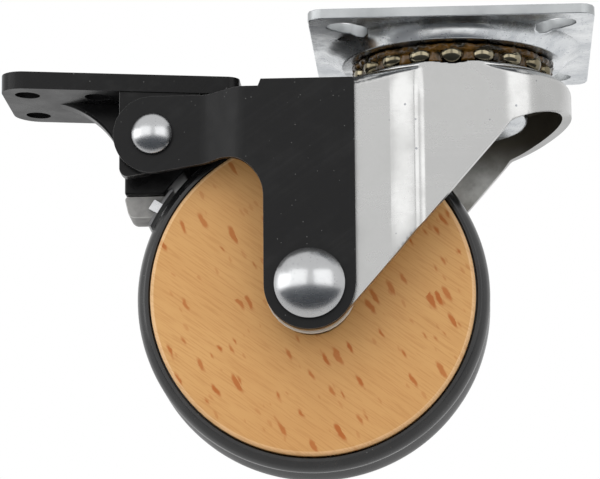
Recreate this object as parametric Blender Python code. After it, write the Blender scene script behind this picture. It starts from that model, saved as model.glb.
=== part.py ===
"""Braked swivel castor with a wood-faced wheel, for a plate-mounted plant stand.

Frame: origin at the centre of the top plate's upper face, +Z up, axle along Y.
The wheel trails towards -X and the brake pedal reaches further that way.
"""

import math

import bmesh
import bpy
from mathutils import Matrix, Vector

MM = 0.001

# Clearances
SEAT_GAP = 0.3 * MM
RUN_GAP = 0.3 * MM

# Top plate
PLATE_SIDE = 60.0 * MM
PLATE_SHEET = 2.2 * MM
PLATE_CORNER = 3.0 * MM
BOSS_DEPTH = 5.4 * MM
BOSS_RIM_R = 24.0 * MM
BOSS_FLARE = 4.0 * MM
BOLT_SPACING = 44.0 * MM
BOLT_SLOT_WIDTH = 6.4 * MM
BOLT_SLOT_LENGTH = 9.4 * MM

# Ball race between the plate and the fork crown
BALL_R = 2.75 * MM
BALL_COUNT = 18
RACE_R = 18.8 * MM
RACE_GAP = 4.0 * MM
GROOVE_CLEARANCE = 0.2 * MM

# Kingpin and lower race
KINGPIN_R = 5.0 * MM
KINGPIN_HEAD_R = 9.5 * MM
KINGPIN_FOOT_R = 8.0 * MM
KINGPIN_FOOT_T = 2.0 * MM
CUP_R = 16.0 * MM
CUP_SHEET = 1.6 * MM
CUP_DEPTH = 6.3 * MM
THRUST_RING_WIDTH = 5.0 * MM

# Fork
FORK_SHEET = 2.0 * MM
FORK_GAP = 37.2 * MM
FORK_SKIRT_R = 25.5 * MM
FORK_FILLET = 8.0 * MM
CROWN_R = 21.8 * MM
CROWN_STEP = 0.8 * MM
CROWN_SHOULDER = 2.5 * MM
SKIRT_DROP_BACK = 8.0 * MM
SKIRT_DROP_LEG = 12.6 * MM
SKIRT_DROP_FRONT = 4.6 * MM
LEG_BACK_X = 12.6 * MM
LEG_FRONT_X = -24.5 * MM
LEG_END_R = 9.4 * MM
BEAD_X = -10.2 * MM
BEAD_WIDTH = 4.4 * MM
BEAD_HEIGHT = 0.7 * MM
BEAD_TOP_DROP = 6.0 * MM
BEAD_FOOT_DROP = 37.0 * MM

# Wheel
TRAIL = 30.3 * MM
WHEEL_TOP_DROP = 19.4 * MM
TYRE_R = 37.5 * MM
TYRE_LIP = 3.0 * MM
TYRE_HALF_W = 9.7 * MM
TYRE_BEAD_Y = 4.7 * MM
TYRE_GROOVE_DEPTH = 1.3 * MM
TYRE_SHOULDER_DEPTH = 1.7 * MM
WOOD_T = 3.5 * MM
WOOD_EDGE = 0.5 * MM
WHEEL_HALF_W = 11.0 * MM
HUB_WEB_T = 6.0 * MM
HUB_BOSS_R = 8.4 * MM
RIM_T = 4.0 * MM

# Axle and what sits on it
AXLE_R = 4.0 * MM
SLEEVE_WALL = 1.4 * MM
BUSH_WALL = 1.5 * MM
BUSH_FLANGE_T = 0.9 * MM
BUSH_FLANGE_R = 9.6 * MM
BUSH_LENGTH = 9.0 * MM
WASHER_T = 1.0 * MM
WASHER_R = 8.6 * MM
AXLE_DOME_R = 7.4 * MM
AXLE_DOME_H = 4.0 * MM
CAP_SKIN = 1.2 * MM

# Brake bracket
BRACKET_SHEET = 1.5 * MM
BRACKET_TOP_DROP = 12.8 * MM
BRACKET_BACK_X = -20.6 * MM
BRACKET_NECK_R = 9.6 * MM
BRACKET_CROTCH_R = 9.0 * MM
BRACKET_CROTCH_DROP = 25.2 * MM
BRACKET_CROTCH_TURN = math.radians(105.0)
LOBE_R = 8.3 * MM
LOBE_START = math.radians(-75.0)
LOBE_END = math.radians(-270.0)
LOBE_TOP_STEP = 1.8 * MM
JOGGLE_TO_STEP = 1.0 * MM
JOGGLE_LENGTH = 7.4 * MM
ARM_REACH = 19.8 * MM
BRIDGE_INSET = 6.5 * MM
BRIDGE_TO_FORK = 1.5 * MM

# Brake pedal
PIVOT_SETBACK = 4.0 * MM
PIVOT_DROP = 23.0 * MM
PIVOT_PIN_R = 2.5 * MM
PIVOT_DOME_R = 4.4 * MM
PIVOT_DOME_H = 2.6 * MM
PAD_REACH = 33.2 * MM
PAD_TO_STEP = 1.4 * MM
PAD_HALF_W = 15.0 * MM
PAD_T = 3.8 * MM
PAD_CORNER = 5.5 * MM
PAD_TILT = math.radians(2.8)
PAD_LIFT = 13.5 * MM
PAD_HOLE_R = 2.7 * MM
PAD_HOLE_INSET = 5.5 * MM
PAD_HOLE_PITCH = 15.1 * MM
PAD_HOLE_Y = 9.0 * MM
CHEEK_OUTER_Y = 14.6 * MM
CHEEK_T = 3.0 * MM
CHEEK_FRONT = 7.2 * MM
CHEEK_BACK = 10.0 * MM
CHEEK_DROP = 10.2 * MM
CHEEK_CORNER = 2.0 * MM
CHEEK_FOOT_RISE = 1.4 * MM
CORE_HALF_W = 6.2 * MM
CORE_DROP = 11.6 * MM
CORE_BACK = 6.0 * MM
CORE_RISE = 3.9 * MM
PEDAL_TO_TYRE = 2.0 * MM
FRONT_WALL_T = 2.2 * MM
PEDAL_WEB_T = 5.0 * MM
PEDAL_WEB_REACH = 19.5 * MM

# Brake shoe and leaf
SHOE_GAP = 0.9 * MM
SHOE_HALF_W = 4.6 * MM
SHOE_FOOT_DROP = 17.6 * MM
SHOE_CORNER = 2.0 * MM
SHOE_RAKE = 1.2 * MM
LEAF_T = 0.7 * MM
LEAF_HALF_W = 6.0 * MM
LEAF_START = math.radians(141.0)
LEAF_END = math.radians(155.0)

# Facets
FINE = 48
MEDIUM = 32
COARSE = 20
ARC_STEPS = 6

# Places that follow from the sizes above
CROWN_TOP = -(BOSS_DEPTH + RACE_GAP)
CROWN_UNDER = CROWN_TOP - FORK_SHEET - CROWN_STEP
BALL_Z = -(BOSS_DEPTH + RACE_GAP / 2)
FORK_INNER_Y = FORK_GAP / 2
FORK_OUTER_Y = FORK_INNER_Y + FORK_SHEET
BRACKET_INNER_Y = FORK_OUTER_Y + SEAT_GAP
BRACKET_OUTER_Y = BRACKET_INNER_Y + BRACKET_SHEET
LOBE_INNER_Y = CHEEK_OUTER_Y + RUN_GAP * 2
LOBE_OUTER_Y = LOBE_INNER_Y + BRACKET_SHEET
SLEEVE_R = AXLE_R + RUN_GAP + SLEEVE_WALL
SLEEVE_HALF = FORK_INNER_Y - SEAT_GAP
BUSH_BORE_R = SLEEVE_R + RUN_GAP
BUSH_R = BUSH_BORE_R + BUSH_WALL
BOSS_HALF = SLEEVE_HALF - WASHER_T - BUSH_FLANGE_T - 3 * RUN_GAP
HUB_BORE_R = BUSH_R + SEAT_GAP
WOOD_R = TYRE_R - TYRE_LIP
RIM_R = WOOD_R - 2 * SEAT_GAP
RIM_HALF_W = WHEEL_HALF_W - WOOD_T - SEAT_GAP
AXLE = Vector((-TRAIL, 0.0, -(TYRE_R + WHEEL_TOP_DROP)))
PIVOT = Vector((PIVOT_SETBACK - TRAIL - TYRE_R, 0.0, -PIVOT_DROP))
ARM_STEP_X = PIVOT.x + ARM_REACH
BRIDGE_FRONT_X = ARM_STEP_X + BRIDGE_INSET
JOGGLE_START_X = ARM_STEP_X - JOGGLE_TO_STEP
PAD_FRONT_X = PIVOT.x - PAD_REACH
PAD_BACK_X = ARM_STEP_X - PAD_TO_STEP
PAD_HOLE_FRONT_X = PAD_FRONT_X + PAD_HOLE_INSET


def make_material(name, colour, roughness, metallic):
    """Return a Principled material of one colour."""
    material = bpy.data.materials.new(name)
    material.use_nodes = True
    shader = material.node_tree.nodes["Principled BSDF"]
    shader.inputs["Base Color"].default_value = (*colour, 1.0)
    shader.inputs["Roughness"].default_value = roughness
    shader.inputs["Metallic"].default_value = metallic
    return material


def finish_mesh(bm, name, material, sharp_degrees=35.0):
    """Turn a bmesh into a named object with outward faces and smooth round sides."""
    bmesh.ops.remove_doubles(bm, verts=bm.verts, dist=1e-7)
    bmesh.ops.recalc_face_normals(bm, faces=bm.faces)
    mesh = bpy.data.meshes.new(name)
    bm.to_mesh(mesh)
    bm.free()
    mesh.shade_smooth()
    mesh.set_sharp_from_angle(angle=math.radians(sharp_degrees))
    mesh.materials.append(material)
    obj = bpy.data.objects.new(name, mesh)
    bpy.context.scene.collection.objects.link(obj)
    return obj


def place(obj, parent):
    """Parent an object to an empty and keep its mesh in the part's own frame."""
    obj.parent = parent
    obj.location = -parent.location
    return obj


def make_empty(name, location):
    """Return an empty on a joint's axis."""
    empty = bpy.data.objects.new(name, None)
    empty.location = location
    bpy.context.scene.collection.objects.link(empty)
    return empty


def arc(centre, radius, start, end, steps=ARC_STEPS):
    """Return the points of an arc in a plane, both ends included."""
    span = end - start
    return [
        (
            centre[0] + radius * math.cos(start + span * i / steps),
            centre[1] + radius * math.sin(start + span * i / steps),
        )
        for i in range(steps + 1)
    ]


def rounded_corner(before, corner, after, radius, steps=3):
    """Return the points that round one corner of an outline."""
    to_before = (Vector(before) - Vector(corner)).normalized()
    to_after = (Vector(after) - Vector(corner)).normalized()
    half = to_before.angle(to_after) / 2
    reach = radius / math.tan(half)
    start = Vector(corner) + to_before * reach
    end = Vector(corner) + to_after * reach
    centre = Vector(corner) + (to_before + to_after).normalized() * (radius / math.sin(half))
    first = math.atan2(start.y - centre.y, start.x - centre.x)
    last = math.atan2(end.y - centre.y, end.x - centre.x)
    turn = (last - first + math.pi) % (2 * math.pi) - math.pi
    return arc(centre, radius, first, first + turn, steps)


def rounded_outline(corners, radius, steps=3):
    """Return an outline with every corner rounded alike."""
    count = len(corners)
    points = []
    for i, corner in enumerate(corners):
        points += rounded_corner(corners[i - 1], corner, corners[(i + 1) % count], radius, steps)
    return points


def tangent_angle(centre, radius, point, side):
    """Return the angle on a circle where the line from a point touches it."""
    offset = Vector(point) - Vector(centre)
    return math.atan2(offset.y, offset.x) + side * math.acos(radius / offset.length)


def prism_xz(outline, y_low, y_high):
    """Extrude an outline of (x, z) points along Y."""
    bm = bmesh.new()
    face = bm.faces.new([bm.verts.new((x, y_low, z)) for x, z in outline])
    moved = bmesh.ops.extrude_face_region(bm, geom=[face])["geom"]
    verts = [item for item in moved if isinstance(item, bmesh.types.BMVert)]
    bmesh.ops.translate(bm, verts=verts, vec=(0.0, y_high - y_low, 0.0))
    return bm


def prism_xy(outline, z_low, z_high):
    """Extrude an outline of (x, y) points along Z."""
    bm = bmesh.new()
    face = bm.faces.new([bm.verts.new((x, y, z_low)) for x, y in outline])
    moved = bmesh.ops.extrude_face_region(bm, geom=[face])["geom"]
    verts = [item for item in moved if isinstance(item, bmesh.types.BMVert)]
    bmesh.ops.translate(bm, verts=verts, vec=(0.0, 0.0, z_high - z_low))
    return bm


def turned(profile, segments, closed=True):
    """Spin a profile of (radius, height) points about Z. Open ones end on the axis."""
    bm = bmesh.new()
    verts = [bm.verts.new((r, 0.0, h)) for r, h in profile]
    pairs = list(zip(verts, verts[1:]))
    if closed:
        pairs.append((verts[-1], verts[0]))
    edges = [bm.edges.new(pair) for pair in pairs]
    bmesh.ops.spin(
        bm,
        geom=verts + edges,
        cent=(0.0, 0.0, 0.0),
        axis=(0.0, 0.0, 1.0),
        angle=2 * math.pi,
        steps=segments,
        use_merge=True,
    )
    return bm


def along_axle(bm, centre):
    """Turn a shape made about Z to lie along Y, at a centre; height runs to -Y."""
    bmesh.ops.transform(bm, matrix=Matrix.Rotation(math.radians(90), 4, "X"), verts=bm.verts)
    bmesh.ops.translate(bm, verts=bm.verts, vec=centre)
    return bm


def dome_profile(radius, height, base, steps=5):
    """Return the outer half of a low dome's profile, rim first and crown last."""
    sphere = (radius * radius + height * height) / (2 * height)
    centre = base + height - sphere
    rim = math.asin(min(1.0, radius / sphere))
    points = []
    for i in range(steps + 1):
        angle = rim * (1 - i / steps)
        points.append((sphere * math.sin(angle), centre + sphere * math.cos(angle)))
    points[-1] = (0.0, base + height)
    return points


def combine(target, other, operation):
    """Add a live Boolean of a hidden helper object to a target."""
    other.hide_render = True
    other.display_type = "WIRE"
    other.parent = target.parent
    other.location = target.location
    modifier = target.modifiers.new(other.name, "BOOLEAN")
    modifier.operation = operation
    modifier.object = other


def helper(bm, name):
    """Return a helper object for a Boolean."""
    return finish_mesh(bm, name, bpy.data.materials[0])


def race_groove(name):
    """Return a ring cutter for the balls' groove."""
    radius = BALL_R + GROOVE_CLEARANCE
    ring = [(RACE_R + x, z) for x, z in arc((0.0, BALL_Z), radius, 0.0, 2 * math.pi, 12)[:-1]]
    return helper(turned(ring, FINE), name)


def top_plate(material):
    """Square zinc plate with a pressed boss that holds the upper race."""
    half = PLATE_SIDE / 2
    corners = [(-half, -half), (half, -half), (half, half), (-half, half)]
    plate = finish_mesh(
        prism_xy(rounded_outline(corners, PLATE_CORNER), -PLATE_SHEET, 0.0), "top_plate", material
    )
    flare = BOSS_RIM_R + BOSS_FLARE
    inside = -PLATE_SHEET / 2
    boss = [
        (0.0, inside),
        (flare - BOSS_FLARE / 8, inside),
        (flare, -PLATE_SHEET),
        (BOSS_RIM_R + BOSS_FLARE / 3, -PLATE_SHEET - (BOSS_DEPTH - PLATE_SHEET) * 0.55),
        (BOSS_RIM_R, -BOSS_DEPTH),
        (0.0, -BOSS_DEPTH),
    ]
    combine(plate, helper(turned(boss, FINE, closed=False), "plate_boss"), "UNION")
    floor = -(BOSS_DEPTH - PLATE_SHEET)
    dish = [
        (0.0, PLATE_SHEET),
        (BOSS_RIM_R, PLATE_SHEET),
        (BOSS_RIM_R, 0.0),
        (BOSS_RIM_R - BOSS_FLARE, floor),
        (0.0, floor),
    ]
    combine(plate, helper(turned(dish, FINE, closed=False), "plate_dish"), "DIFFERENCE")
    combine(plate, race_groove("groove_plate"), "DIFFERENCE")
    hole_r = KINGPIN_R + SEAT_GAP
    hole = prism_xy(arc((0.0, 0.0), hole_r, 0.0, 2 * math.pi, COARSE)[:-1], -2 * BOSS_DEPTH, BOSS_DEPTH)
    combine(plate, helper(hole, "plate_hole"), "DIFFERENCE")
    for name, turn in (("a", 45), ("b", 135), ("c", 225), ("d", 315)):
        combine(plate, bolt_slot(f"bolt_slot_{name}", math.radians(turn)), "DIFFERENCE")
    return plate


def bolt_slot(name, turn):
    """Return the cutter of one bolt slot, which points at the plate's centre."""
    radius = BOLT_SLOT_WIDTH / 2
    straight = (BOLT_SLOT_LENGTH - BOLT_SLOT_WIDTH) / 2
    reach = BOLT_SPACING / math.sqrt(2)
    outline = arc((reach + straight, 0.0), radius, -math.pi / 2, math.pi / 2)
    outline += arc((reach - straight, 0.0), radius, math.pi / 2, 3 * math.pi / 2)
    bm = prism_xy(outline, -2 * BOSS_DEPTH, BOSS_DEPTH)
    bmesh.ops.rotate(bm, verts=bm.verts, matrix=Matrix.Rotation(turn, 3, "Z"))
    return helper(bm, name)


def race_balls(material):
    """Loose steel balls of the upper race, one object each."""
    balls = []
    for i in range(BALL_COUNT):
        angle = 2 * math.pi * (i + 0.5) / BALL_COUNT
        bm = bmesh.new()
        bmesh.ops.create_icosphere(bm, subdivisions=2, radius=BALL_R)
        centre = (RACE_R * math.cos(angle), RACE_R * math.sin(angle), BALL_Z)
        bmesh.ops.translate(bm, verts=bm.verts, vec=centre)
        balls.append(finish_mesh(bm, f"race_ball_{i + 1:02d}", material, 180.0))
    return balls


def cup_levels():
    """Return the lower cup's rim height and its floor's upper and lower heights."""
    rim = CROWN_UNDER - SEAT_GAP * 3
    under = rim - CUP_DEPTH
    return rim, under + CUP_SHEET, under


def kingpin(material):
    """Rivet that carries the fork: flat head in the plate's dish, round shaft, flat foot."""
    seat = -(BOSS_DEPTH - PLATE_SHEET) + SEAT_GAP
    foot_top = cup_levels()[2] - SEAT_GAP
    foot = foot_top - KINGPIN_FOOT_T
    edge = KINGPIN_FOOT_T / 3
    profile = [
        (0.0, 0.0),
        (KINGPIN_HEAD_R - edge, 0.0),
        (KINGPIN_HEAD_R, -edge),
        (KINGPIN_HEAD_R, seat),
        (KINGPIN_R, seat),
        (KINGPIN_R, foot_top),
        (KINGPIN_FOOT_R, foot_top),
        (KINGPIN_FOOT_R, foot + edge),
        (KINGPIN_FOOT_R - edge, foot),
        (0.0, foot),
    ]
    return finish_mesh(turned(profile, COARSE, closed=False), "kingpin", material)


def lower_race_cup(material):
    """Pressed cup under the fork crown, held up by the kingpin's foot."""
    rim, floor, under = cup_levels()
    bore = KINGPIN_R + SEAT_GAP
    inner = CUP_R - CUP_SHEET
    slope = CUP_DEPTH * 0.45
    profile = [
        (CUP_R, rim),
        (CUP_R, under + slope),
        (CUP_R - slope, under),
        (bore, under),
        (bore, floor),
        (inner - slope + CUP_SHEET / 2, floor),
        (inner, under + slope + CUP_SHEET / 2),
        (inner, rim),
    ]
    return finish_mesh(turned(profile, MEDIUM), "lower_race_cup", material)


def lower_thrust_ring(material):
    """Ring that runs between the fork crown and the lower cup's floor."""
    floor = cup_levels()[1] + SEAT_GAP
    top = CROWN_UNDER - SEAT_GAP
    inner = KINGPIN_R + 2 * RUN_GAP
    outer = inner + THRUST_RING_WIDTH
    profile = [(outer, top), (outer, floor), (inner, floor), (inner, top)]
    return finish_mesh(turned(profile, MEDIUM), "lower_thrust_ring", material)


def crown_plan(shrink):
    """Plan outline of the fork's skirt: a circle with two flats and rounded joins."""
    fillet = FORK_FILLET - shrink
    skirt = FORK_SKIRT_R - shrink
    lift = FORK_OUTER_Y - FORK_FILLET
    along = math.sqrt((FORK_SKIRT_R - FORK_FILLET) ** 2 - lift**2)
    join = math.atan2(lift, along)
    right = arc((along, -lift), fillet, -math.pi / 2, -join, 3)
    right += arc((0.0, 0.0), skirt, -join, join, 8)[1:-1]
    right += arc((along, lift), fillet, join, math.pi / 2, 3)
    left = [(-x, -y) for x, y in right]
    return right + left


def leg_outline():
    """Side outline of one fork leg, from the skirt to the round end at the axle."""
    end = (AXLE.x, AXLE.z)
    top = CROWN_TOP - CROWN_STEP - CROWN_SHOULDER
    back = (LEG_BACK_X, CROWN_TOP - SKIRT_DROP_LEG)
    front = (LEG_FRONT_X, CROWN_TOP - SKIRT_DROP_FRONT)
    first = tangent_angle(end, LEG_END_R, back, -1)
    last = tangent_angle(end, LEG_END_R, front, 1)
    if last < first:
        last += 2 * math.pi
    foot = arc(end, LEG_END_R, first, last - 2 * math.pi, 10)
    return [(LEG_FRONT_X, top), (LEG_BACK_X, top), back] + foot + [front]


def fork(material):
    """Pressed fork: a round crown, a skirt with flats, and two legs down to the axle."""
    top = CROWN_TOP - CROWN_STEP
    low = CROWN_TOP - SKIRT_DROP_LEG
    bm = prism_xy(crown_plan(0.0), low, top)
    rim = [edge for edge in bm.edges if all(abs(vert.co.z - top) < 1e-7 for vert in edge.verts)]
    bmesh.ops.bevel(
        bm,
        geom=rim,
        offset=CROWN_SHOULDER,
        affect="EDGES",
        segments=3,
        profile=0.5,
        material=-1,
    )
    shell = finish_mesh(bm, "fork", material)
    hollow = prism_xy(crown_plan(FORK_SHEET), low - FORK_GAP, top - FORK_SHEET)
    combine(shell, helper(hollow, "fork_hollow"), "DIFFERENCE")
    reach = 2 * FORK_SKIRT_R
    under = [
        (-reach, CROWN_TOP - SKIRT_DROP_FRONT),
        (LEG_FRONT_X, CROWN_TOP - SKIRT_DROP_FRONT),
        (LEG_FRONT_X + SKIRT_DROP_BACK, low),
        (LEG_BACK_X, low),
        (FORK_SKIRT_R, CROWN_TOP - SKIRT_DROP_BACK),
        (reach, CROWN_TOP - SKIRT_DROP_BACK),
        (reach, low - reach),
        (-reach, low - reach),
    ]
    combine(shell, helper(prism_xz(under, -reach, reach), "fork_trim"), "DIFFERENCE")
    for name, side in (("near", -1), ("far", 1)):
        ends = sorted((side * FORK_INNER_Y, side * FORK_OUTER_Y))
        leg = prism_xz(leg_outline(), *ends)
        combine(shell, helper(leg, f"fork_leg_{name}"), "UNION")
        combine(shell, helper(leg_bead(side), f"fork_bead_{name}"), "UNION")
    disc = [
        (0.0, CROWN_TOP),
        (CROWN_R - CROWN_STEP, CROWN_TOP),
        (CROWN_R, CROWN_TOP - CROWN_STEP),
        (CROWN_R, CROWN_TOP - FORK_SHEET),
        (FORK_OUTER_Y - FORK_SHEET / 2, CROWN_UNDER - CROWN_SHOULDER / 2),
        (FORK_OUTER_Y - FORK_SHEET, CROWN_UNDER),
        (0.0, CROWN_UNDER),
    ]
    combine(shell, helper(turned(disc, FINE, closed=False), "fork_crown"), "UNION")
    combine(shell, race_groove("groove_crown"), "DIFFERENCE")
    bore = prism_xy(
        arc((0.0, 0.0), KINGPIN_R + RUN_GAP, 0.0, 2 * math.pi, COARSE)[:-1], low, 2 * BOSS_DEPTH
    )
    combine(shell, helper(bore, "fork_bore"), "DIFFERENCE")
    combine(shell, helper(axle_bore(), "fork_axle_bore"), "DIFFERENCE")
    return shell


def leg_bead(side):
    """Upright stiffening bead pressed into a leg, with sloping sides."""
    half = BEAD_WIDTH / 2
    inner = side * (FORK_OUTER_Y - FORK_SHEET / 2)
    face = side * FORK_OUTER_Y
    crest = side * (FORK_OUTER_Y + BEAD_HEIGHT)
    outline = [
        (BEAD_X - half, inner),
        (BEAD_X + half, inner),
        (BEAD_X + half, face),
        (BEAD_X + half / 2, crest),
        (BEAD_X - half / 2, crest),
        (BEAD_X - half, face),
    ]
    return prism_xy(outline, CROWN_TOP - BEAD_FOOT_DROP, CROWN_TOP - BEAD_TOP_DROP)


def axle_bore():
    """Return the cutter of the axle's hole through legs and bracket."""
    radius = AXLE_R + SEAT_GAP
    outline = arc((AXLE.x, AXLE.z), radius, 0.0, 2 * math.pi, COARSE)[:-1]
    return prism_xz(outline, -FORK_GAP, FORK_GAP)


def bracket_outline():
    """Side outline of one bracket plate: pivot lobe, joggled arm and neck to the axle."""
    top = -BRACKET_TOP_DROP
    lobe = (PIVOT.x, PIVOT.z)
    neck = (AXLE.x, AXLE.z)
    neck_front = AXLE.x - BRACKET_NECK_R
    crotch = (neck_front - BRACKET_CROTCH_R, top - BRACKET_CROTCH_DROP)
    points = [(BRACKET_BACK_X, top), (BRACKET_BACK_X, AXLE.z)]
    points += arc(neck, BRACKET_NECK_R, 0.0, -math.pi, 12)
    points += arc(crotch, BRACKET_CROTCH_R, 0.0, BRACKET_CROTCH_TURN, 6)
    points += arc(lobe, LOBE_R, LOBE_START, LOBE_END, 14)
    points += [(JOGGLE_START_X - JOGGLE_LENGTH, PIVOT.z + LOBE_R)]
    points += [(JOGGLE_START_X, top - LOBE_TOP_STEP / 2), (ARM_STEP_X, top)]
    return points


def bracket_plan(side):
    """Plan of one bracket plate, with the joggle from the leg's face in to the pedal."""
    joggle_end = JOGGLE_START_X - JOGGLE_LENGTH
    tip = PIVOT.x - 2 * LOBE_R
    back = BRACKET_BACK_X + LOBE_R
    outer = [(tip, LOBE_OUTER_Y), (joggle_end, LOBE_OUTER_Y)]
    outer += [(JOGGLE_START_X, BRACKET_OUTER_Y), (back, BRACKET_OUTER_Y)]
    inner = [(back, BRACKET_INNER_Y), (JOGGLE_START_X, BRACKET_INNER_Y)]
    inner += [(joggle_end, LOBE_INNER_Y), (tip, LOBE_INNER_Y)]
    return [(x, side * y) for x, y in outer + inner]


def brake_bracket(material):
    """Black pressed bracket: two shaped side plates joined by a bridge over the wheel."""
    top = -BRACKET_TOP_DROP
    bridge_back = -FORK_SKIRT_R - BRIDGE_TO_FORK
    half = BRACKET_INNER_Y + BRACKET_SHEET / 2
    outline = [(BRIDGE_FRONT_X, -half), (bridge_back, -half), (bridge_back, half), (BRIDGE_FRONT_X, half)]
    bracket = finish_mesh(prism_xy(outline, top - BRACKET_SHEET, top), "brake_bracket", material)
    for name, side in (("near", -1), ("far", 1)):
        plate = helper(prism_xy(bracket_plan(side), 2 * AXLE.z, top), f"bracket_plate_{name}")
        reach = sorted((0.0, side * 2 * BRACKET_OUTER_Y))
        combine(plate, helper(prism_xz(bracket_outline(), *reach), f"bracket_form_{name}"), "INTERSECT")
        combine(bracket, plate, "UNION")
    combine(bracket, helper(axle_bore(), "bracket_axle_bore"), "DIFFERENCE")
    hole = arc((PIVOT.x, PIVOT.z), PIVOT_PIN_R + SEAT_GAP, 0.0, 2 * math.pi, COARSE)[:-1]
    pin_bore = prism_xz(hole, -2 * LOBE_OUTER_Y, 2 * LOBE_OUTER_Y)
    combine(bracket, helper(pin_bore, "bracket_pin_bore"), "DIFFERENCE")
    return bracket


def axle_bolt(material):
    """Axle with one domed head; its plain end takes the matching cap."""
    base = BRACKET_OUTER_Y + SEAT_GAP
    end = -(base + AXLE_DOME_H - CAP_SKIN - SEAT_GAP)
    profile = [(0.0, end), (AXLE_R, end), (AXLE_R, base)]
    profile += dome_profile(AXLE_DOME_R, AXLE_DOME_H, base)
    return finish_mesh(along_axle(turned(profile, COARSE, closed=False), AXLE), "axle_bolt", material)


def axle_cap(material):
    """Domed cap pressed on the axle's far end."""
    base = BRACKET_OUTER_Y + SEAT_GAP
    bore = AXLE_R + SEAT_GAP / 2
    roof = base + AXLE_DOME_H - CAP_SKIN
    profile = [(0.0, roof), (bore, roof), (bore, base)]
    profile += dome_profile(AXLE_DOME_R, AXLE_DOME_H, base)
    bm = turned(profile, COARSE, closed=False)
    bmesh.ops.rotate(bm, verts=bm.verts, matrix=Matrix.Rotation(math.pi, 3, "X"))
    return finish_mesh(along_axle(bm, AXLE), "axle_cap", material)


def axle_ring(name, outer, inner, low, high, material):
    """Plain ring about the axle, between two heights along it."""
    profile = [(inner, low), (outer, low), (outer, high), (inner, high)]
    return finish_mesh(along_axle(turned(profile, MEDIUM), AXLE), name, material)


def bush(name, side, material):
    """Flanged plain bearing pressed into one end of the hub."""
    flange_low = BOSS_HALF + RUN_GAP
    flange_high = flange_low + BUSH_FLANGE_T
    profile = [
        (BUSH_BORE_R, flange_high - BUSH_LENGTH),
        (BUSH_R, flange_high - BUSH_LENGTH),
        (BUSH_R, flange_low),
        (BUSH_FLANGE_R, flange_low),
        (BUSH_FLANGE_R, flange_high),
        (BUSH_BORE_R, flange_high),
    ]
    profile = [(r, -side * h) for r, h in profile]
    return finish_mesh(along_axle(turned(profile, MEDIUM), AXLE), name, material)


def wheel_hub(material):
    """Moulded wheel core: rim, web and a boss that reaches towards both legs."""
    web = HUB_WEB_T / 2
    rim_inner = RIM_R - RIM_T
    half = [
        (HUB_BORE_R, BOSS_HALF),
        (HUB_BOSS_R, BOSS_HALF),
        (HUB_BOSS_R, web),
        (rim_inner, web),
        (rim_inner, RIM_HALF_W),
        (RIM_R, RIM_HALF_W),
    ]
    profile = half + [(r, -h) for r, h in reversed(half)]
    return finish_mesh(along_axle(turned(profile, MEDIUM), AXLE), "wheel_hub", material)


def tyre(material):
    """Black tyre with two tread beads, a middle groove and a lip round each wood face."""
    lip_r = WOOD_R + SEAT_GAP
    seat_r = RIM_R + SEAT_GAP
    seat_w = RIM_HALF_W
    groove_r = TYRE_R - TYRE_GROOVE_DEPTH
    shoulder_r = TYRE_R - TYRE_SHOULDER_DEPTH
    flank = TYRE_HALF_W - TYRE_BEAD_Y
    half = [
        (groove_r, TYRE_BEAD_Y * 0.12),
        (TYRE_R - TYRE_GROOVE_DEPTH * 0.3, TYRE_BEAD_Y * 0.4),
        (TYRE_R, TYRE_BEAD_Y),
        (TYRE_R - TYRE_SHOULDER_DEPTH * 0.35, TYRE_BEAD_Y + flank * 0.65),
        (shoulder_r, TYRE_HALF_W),
        (lip_r, TYRE_HALF_W),
        (lip_r, seat_w),
        (seat_r, seat_w),
    ]
    profile = half + [(r, -h) for r, h in reversed(half)]
    return finish_mesh(along_axle(turned(profile, FINE), AXLE), "tyre", material)


def wood_face(name, side, material):
    """Turned wood disc on one side of the wheel, with a softened edge."""
    bore = HUB_BOSS_R + SEAT_GAP
    inside = WHEEL_HALF_W - WOOD_T
    profile = [
        (bore, inside),
        (WOOD_R, inside),
        (WOOD_R, WHEEL_HALF_W - WOOD_EDGE),
        (WOOD_R - WOOD_EDGE, WHEEL_HALF_W),
        (bore, WHEEL_HALF_W),
    ]
    profile = [(r, -side * h) for r, h in profile]
    return finish_mesh(along_axle(turned(profile, FINE), AXLE), name, material)


def pad_height(x):
    """Height of the pedal pad's underside at x; the pad rises towards its toe."""
    return PIVOT.z + PAD_LIFT - PAD_T + (PIVOT.x - x) * math.tan(PAD_TILT)


def pedal_pad():
    """Rounded foot pad, tilted up a little towards its toe."""
    corners = [
        (PAD_FRONT_X, -PAD_HALF_W),
        (PAD_BACK_X, -PAD_HALF_W),
        (PAD_BACK_X, PAD_HALF_W),
        (PAD_FRONT_X, PAD_HALF_W),
    ]
    bm = prism_xy(rounded_outline(corners, PAD_CORNER, 4), 0.0, PAD_T)
    for vert in bm.verts:
        vert.co.z += pad_height(vert.co.x)
    return bm


def cheek_outline():
    """Side outline of the pedal's cheeks, round the pivot and down to the shoe."""
    front = PIVOT.x - CHEEK_FRONT
    back = PIVOT.x + CHEEK_BACK
    foot = PIVOT.z - CHEEK_DROP
    embed = PAD_T / 2
    points = [(front, pad_height(front) + embed)]
    points += rounded_corner((front, 0.0), (front, foot), (0.0, foot), CHEEK_CORNER)
    points += [(PIVOT.x, foot + CHEEK_FOOT_RISE), (back, PIVOT.z - CHEEK_DROP / 3)]
    points += [(back, pad_height(back) + embed)]
    return points


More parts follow.
